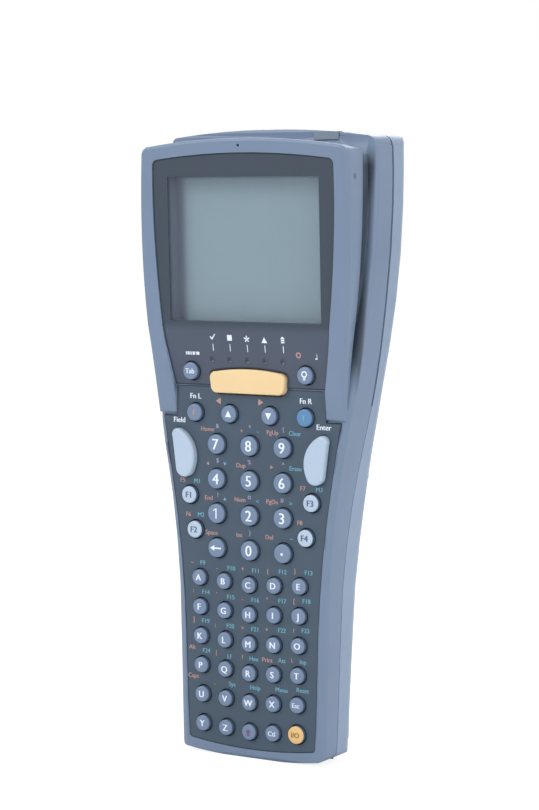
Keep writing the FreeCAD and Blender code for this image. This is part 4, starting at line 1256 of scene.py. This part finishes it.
@dataclass
class Casing:
    """The two casing halves, the battery door and what is set into them."""

    shells: tuple[tuple[str, Plastic, str, str], ...] = (
        ("front_casing", CASING, "casing", "casing"),
        # the back shell and the door get the lighter, painted-light copy of the casing plastic
        ("back_casing", CASING_BACK, "casing", "casing"),
        ("battery_door", CASING_BACK, "casing", "battery_door"))
    sharp: float = 24.0
    gasket_draw: Place = (0.982, 1.0, 0.994)
    bezel_foot: float = 150.0
    bezel_front: float = -18.0
    bezel_angle: float = 1.2
    side_reach: float = 42.0
    probe_start: float = 60.0
    dimple: tuple[float, float] = (-15.94, 215.6)
    dimple_mark: tuple[float, float] = (-15.94, 218.2)
    dimple_radius: float = 1.35
    dimple_rim: float = 0.3
    dimple_x: float = 44.0
    screw_head: float = 2.7
    head_depth: float = 2.0
    socket: float = 1.35
    socket_depth: float = 1.2
    shank: float = 1.45

    def build(self) -> list[bpy.types.Object]:
        """Builds the shells with even shading, and the screws with their sockets.

        Returns:
            The new objects.
        """
        pieces = []
        for node, finish, slot, body in self.shells:
            bm = cad_mesh(node)
            if node == "front_casing":
                self.fill_dimples(bm)
                self.even_bezel(bm)
            pieces.append(make_piece(f"{node}_shell", bm, body, [finish.material()], [node],
                                     sharp=self.sharp, weighted=True))
        return pieces + [self.dimples(), self.gasket(), self.screws()]

    def fill_dimples(self, bm: bmesh.types.BMesh) -> None:
        """Draws each side dimple's rim together, so that the side round it shades evenly.

        Args:
            bm: the front casing's mesh.
        """
        centre = Vector(self.dimple)
        for side in (-1.0, 1.0):
            near = [f for f in bm.faces if side * f.calc_center_median().x > self.side_reach
                    and (f.calc_center_median().yz - centre).length < self.dimple_radius]
            bmesh.ops.delete(bm, geom=near, context="FACES")
            rim = [v for v in bm.verts if v.is_boundary and side * v.co.x > self.side_reach
                   and (v.co.yz - centre).length < self.dimple_radius + self.dimple_rim]
            if rim:
                middle = sum((v.co for v in rim), Vector()) / len(rim)
                bmesh.ops.pointmerge(bm, verts=rim, merge_co=middle)
        start = Vector((self.probe_start, *self.dimple_mark))
        hit = BVHTree.FromBMesh(bm).ray_cast(start, Vector((-1.0, 0.0, 0.0)))[0]
        self.dimple_x = hit.x if hit else self.dimple_x

    def even_bezel(self, bm: bmesh.types.BMesh) -> None:
        """Joins the small faces of the flat bezel round the screen into large ones.

        Args:
            bm: the front casing's mesh.
        """
        flat = [f for f in bm.faces if f.normal.y < -0.97
                and f.calc_center_median().z > self.bezel_foot
                and f.calc_center_median().y < self.bezel_front]
        edges = list({e for f in flat for e in f.edges if all(g in flat for g in e.link_faces)})
        bmesh.ops.dissolve_limit(bm, angle_limit=math.radians(self.bezel_angle), verts=[],
                                 edges=edges)

    def gasket(self) -> bpy.types.Object:
        """Builds the seal, drawn in a little so that it stays inside the joint all round.

        Returns:
            The new object.
        """
        bm = cad_mesh("casing_gasket")
        middle = (max(v.co.z for v in bm.verts) + min(v.co.z for v in bm.verts)) / 2.0
        place = Matrix.Translation((0.0, 0.0, -middle))
        bmesh.ops.scale(bm, vec=Vector(self.gasket_draw), space=place, verts=bm.verts)
        return make_piece("casing_gasket_seal", bm, "casing", [SEAL.material()],
                          ["casing_gasket"], sharp=40.0)

    def dimples(self) -> bpy.types.Object:
        """Builds small dark discs on the head's sides, painted shade that stands in for the
        dimples' hollows.

        Returns:
            The new object.
        """
        bm = bmesh.new()
        for side in (-1.0, 1.0):
            dot = bmesh.new()
            bmesh.ops.create_cone(dot, cap_ends=True, segments=28, radius1=self.dimple_radius * 0.9,
                                  radius2=self.dimple_radius * 0.8, depth=0.3)
            rotate_mesh(dot, side * QUARTER_TURN, "Y")
            move_mesh(dot, (side * (self.dimple_x - 0.05), *self.dimple_mark))
            join_into(bm, dot)
        return make_piece("side_dimples", bm, "casing", [DIMPLE.material()], sharp=30.0)

    def screws(self) -> bpy.types.Object:
        """Builds the casing screws: round heads with a six-sided socket.

        Returns:
            The new object.
        """
        bm = bmesh.new()
        for solid in solids_of("casing_screws"):
            screw = bmesh.new()
            length = solid.high.y - solid.low.y - self.head_depth
            loops = []
            for sides, radius in ((32, self.screw_head), (6, self.socket)):
                made = bmesh.ops.create_circle(screw, segments=sides, radius=radius)["verts"]
                loops.append({e for v in made for e in v.link_edges})
            bmesh.ops.bridge_loops(screw, edges=list(loops[0] | loops[1]))
            for loop, down in zip(loops, (self.head_depth, self.socket_depth)):
                edges = [e for e in loop if e.is_valid]
                grown = bmesh.ops.extrude_edge_only(screw, edges=edges)["geom"]
                moved = [g for g in grown if isinstance(g, bmesh.types.BMVert)]
                bmesh.ops.translate(screw, vec=Vector((0.0, 0.0, -down)), verts=moved)
                ring = [g for g in grown if isinstance(g, bmesh.types.BMEdge)
                        and all(v in moved for v in g.verts)]
                bmesh.ops.edgeloop_fill(screw, edges=ring)
            shank = bmesh.ops.create_cone(screw, cap_ends=True, segments=20, radius1=self.shank,
                                          radius2=self.shank, depth=length)["verts"]
            down = self.head_depth + length / 2.0
            bmesh.ops.translate(screw, vec=Vector((0.0, 0.0, -down)), verts=shank)
            bmesh.ops.recalc_face_normals(screw, faces=screw.faces)
            rotate_mesh(screw, -QUARTER_TURN)
            move_mesh(screw, (solid.centre.x, solid.high.y, solid.centre.z))
            join_into(bm, screw)
        return make_piece("casing_screw_heads", bm, "casing", [SCREW.material()],
                          ["casing_screws"], sharp=30.0)


@dataclass
class ScreenHead:
    """The screen, its window and frame, and the indicator lights."""

    lens_edge: float = 0.3
    lens_sink: float = 0.4
    lens_rise: float = 0.1
    bright_side: float = 0.3

    def build(self) -> list[bpy.types.Object]:
        """Dresses the screen and builds the lights' lenses.

        Returns:
            The new objects.
        """
        low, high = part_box("display_window")
        screen = LiquidCrystal("liquid_crystal", Tint.SCREEN, low.x / MM, high.z / MM)
        dress_node("lcd_module", screen.material())
        dress_node("display_window", WINDOW.material())
        dress_node("display_frame", SCREEN_WALL.material())
        bm = bmesh.new()
        for solid in solids_of("indicator_lights"):
            lens = bmesh.new()
            depth = solid.high.y - solid.low.y
            bmesh.ops.create_cone(lens, cap_ends=True, segments=28, radius1=solid.radius,
                                  radius2=solid.radius, depth=depth + self.lens_rise)
            rotate_mesh(lens, QUARTER_TURN)
            front = min(lens.faces, key=lambda f: f.calc_center_median().y)
            bmesh.ops.inset_region(lens, faces=[front], thickness=self.lens_edge)
            wall = bmesh.ops.inset_region(lens, faces=[front], thickness=self.lens_edge,
                                          depth=-self.lens_sink)["faces"]
            # Painted highlight: the right half of the sunk wall gets a lighter colour, as if lit
            # from the left.
            for face in wall:
                face.material_index = int(face.calc_center_median().x > self.bright_side)
            bmesh.ops.recalc_face_normals(lens, faces=lens.faces)
            move_mesh(lens, solid.centre)
            join_into(bm, lens)
        return [make_piece("indicator_lenses", bm, "casing",
                           [LAMP.material(), LAMP_EDGE.material()], ["indicator_lights"],
                           sharp=60.0)]


@dataclass
class PlainNodes:
    """Solids whose own shape is right, with their finishes."""

    finishes: tuple[tuple[str, Finish], ...] = (
        ("keypad_mat", RUBBER), ("keypad_board", BOARD),
        ("main_board", BOARD), ("backup_cell", STEEL), ("antenna", CERAMIC), ("sounder", BLACK),
        ("scan_engine", BLACK), ("scan_window", SCAN_GLASS), ("battery_pack", BATTERY),
        ("battery_contacts", GOLD), ("door_hinge_pin", STEEL), ("door_latch", LATCH),
        ("connector_block", BLACK), ("charging_pads", GOLD), ("top_tab", TAB))

    def build(self) -> None:
        """Gives each solid its finish."""
        for node, finish in self.finishes:
            dress_node(node, finish.material())


@dataclass
class Studio:
    """A plain pale floor and backdrop, soft light, and the camera."""

    camera_place: Place = (471.30, -770.73, 211.22)
    camera_target: Place = (9.332, -17.9, 134.297)
    camera_roll: float = -0.146
    camera_lens: float = 106.667
    sensor_width: float = 36.0
    nearest: float = 0.05
    sky: float = 0.62
    floor_size: float = 6.0
    floor_glow: float = 1.2
    floor_share: float = 0.72
    lamp_aim: Place = (0.0, 0.0, 0.13)
    lamps: tuple[tuple[str, Place, float, float], ...] = (
        ("key_light", (-0.55, -0.95, 0.95), 0.75, 9.0),
        ("side_light", (1.1, -0.25, 0.55), 0.7, 5.1),
        ("top_light", (0.0, 0.15, 1.25), 0.6, 5.0),
        ("back_light", (-0.4, 1.1, 0.7), 0.7, 4.0))

    def build(self) -> None:
        """Builds the floor, the lamps, the world and the camera."""
        self.floor()
        self.world()
        for name, place, size, power in self.lamps:
            self.lamp(name, place, size, power)
        self.camera()

    def floor(self) -> None:
        """Builds the pale floor, which keeps a faint shadow."""
        bm = bmesh.new()
        bmesh.ops.create_grid(bm, x_segments=1, y_segments=1, size=self.floor_size)
        mesh = bpy.data.meshes.new("floor")
        bm.to_mesh(mesh)
        bm.free()
        graph = NodeGraph("pale_floor")
        graph.shader.inputs["Base Color"].default_value = (0.86, 0.87, 0.88, 1.0)
        graph.shader.inputs["Roughness"].default_value = 0.8
        rays = graph.tree.nodes.new("ShaderNodeLightPath")
        glow = graph.add("ShaderNodeEmission", Color=(1.0, 1.0, 1.0, 1.0),
                         Strength=self.floor_glow)
        share = graph.tree.nodes.new("ShaderNodeMath")
        share.operation = "MULTIPLY"
        share.inputs[1].default_value = self.floor_share
        graph.join(rays, "Is Camera Ray", share, "Value")
        mix = graph.tree.nodes.new("ShaderNodeMixShader")
        graph.join(share, "Value", mix, "Fac")
        graph.tree.links.new(graph.shader.outputs["BSDF"], mix.inputs[1])
        graph.tree.links.new(glow.outputs["Emission"], mix.inputs[2])
        graph.join(mix, "Shader", graph.output, "Surface")
        mesh.materials.append(graph.material)
        floor = bpy.data.objects.new("floor", mesh)
        bpy.context.scene.collection.objects.link(floor)

    def world(self) -> None:
        """Lights the scene softly from all round, and shows white behind it."""
        world = bpy.data.worlds.new("studio")
        bpy.context.scene.world = world
        world.use_nodes = True
        tree = world.node_tree
        tree.nodes.clear()
        output = tree.nodes.new("ShaderNodeOutputWorld")
        seen = tree.nodes.new("ShaderNodeBackground")
        seen.inputs["Color"].default_value = (1.0, 1.0, 1.0, 1.0)
        lit = tree.nodes.new("ShaderNodeBackground")
        lit.inputs["Color"].default_value = (0.95, 0.975, 1.0, 1.0)
        lit.inputs["Strength"].default_value = self.sky
        rays = tree.nodes.new("ShaderNodeLightPath")
        shown = rays.outputs["Is Camera Ray"]
        for kind in ("Is Transmission Ray", "Is Glossy Ray"):
            highest = tree.nodes.new("ShaderNodeMath")
            highest.operation = "MAXIMUM"
            tree.links.new(shown, highest.inputs[0])
            tree.links.new(rays.outputs[kind], highest.inputs[1])
            shown = highest.outputs["Value"]
        mix = tree.nodes.new("ShaderNodeMixShader")
        tree.links.new(shown, mix.inputs["Fac"])
        tree.links.new(lit.outputs["Background"], mix.inputs[1])
        tree.links.new(seen.outputs["Background"], mix.inputs[2])
        tree.links.new(mix.outputs["Shader"], output.inputs["Surface"])

    def lamp(self, name: str, place: Sequence[float], size: float, power: float) -> None:
        """Builds a square soft lamp that points at the terminal.

        Args:
            name: the lamp's name.
            place: where it is, in metres.
            size: the length of its side, in metres.
            power: its power, in watts.
        """
        light = bpy.data.lights.new(name, "AREA")
        light.size = size
        light.energy = power
        lamp = bpy.data.objects.new(name, light)
        lamp.location = place
        aim = Vector(self.lamp_aim) - Vector(place)
        lamp.rotation_euler = aim.to_track_quat("-Z", "Y").to_euler()
        bpy.context.scene.collection.objects.link(lamp)

    def camera(self) -> None:
        """Builds the camera at the photograph's viewing angle."""
        lens = bpy.data.cameras.new("camera")
        lens.lens = self.camera_lens
        lens.sensor_width = self.sensor_width
        lens.clip_start = self.nearest
        camera = bpy.data.objects.new("camera", lens)
        place = Vector(self.camera_place) * MM
        look = (Vector(self.camera_target) * MM - place).to_track_quat("-Z", "Y")
        camera.location = place
        camera.rotation_mode = "QUATERNION"
        camera.rotation_quaternion = look @ Matrix.Rotation(
            math.radians(self.camera_roll), 4, "Z").to_quaternion()
        bpy.context.scene.collection.objects.link(camera)
        bpy.context.scene.camera = camera


def main() -> None:
    """Builds the terminal and its studio."""
    logging.basicConfig(level=logging.INFO, format="%(name)s: %(message)s")
    bpy.context.scene.view_settings.view_transform = "Standard"
    Studio().build()
    Casing().build()
    ScreenHead().build()
    PrintedSheet("display_panel", PANEL_FACE, PANEL, 0.5, panel_print()).build()
    PrintedSheet("keypad_overlay", OVERLAY_FACE, SHEET, 0.3, overlay_print()).build()
    Keypad().build()
    PlainNodes().build()


if __name__ == "__main__":
    main()
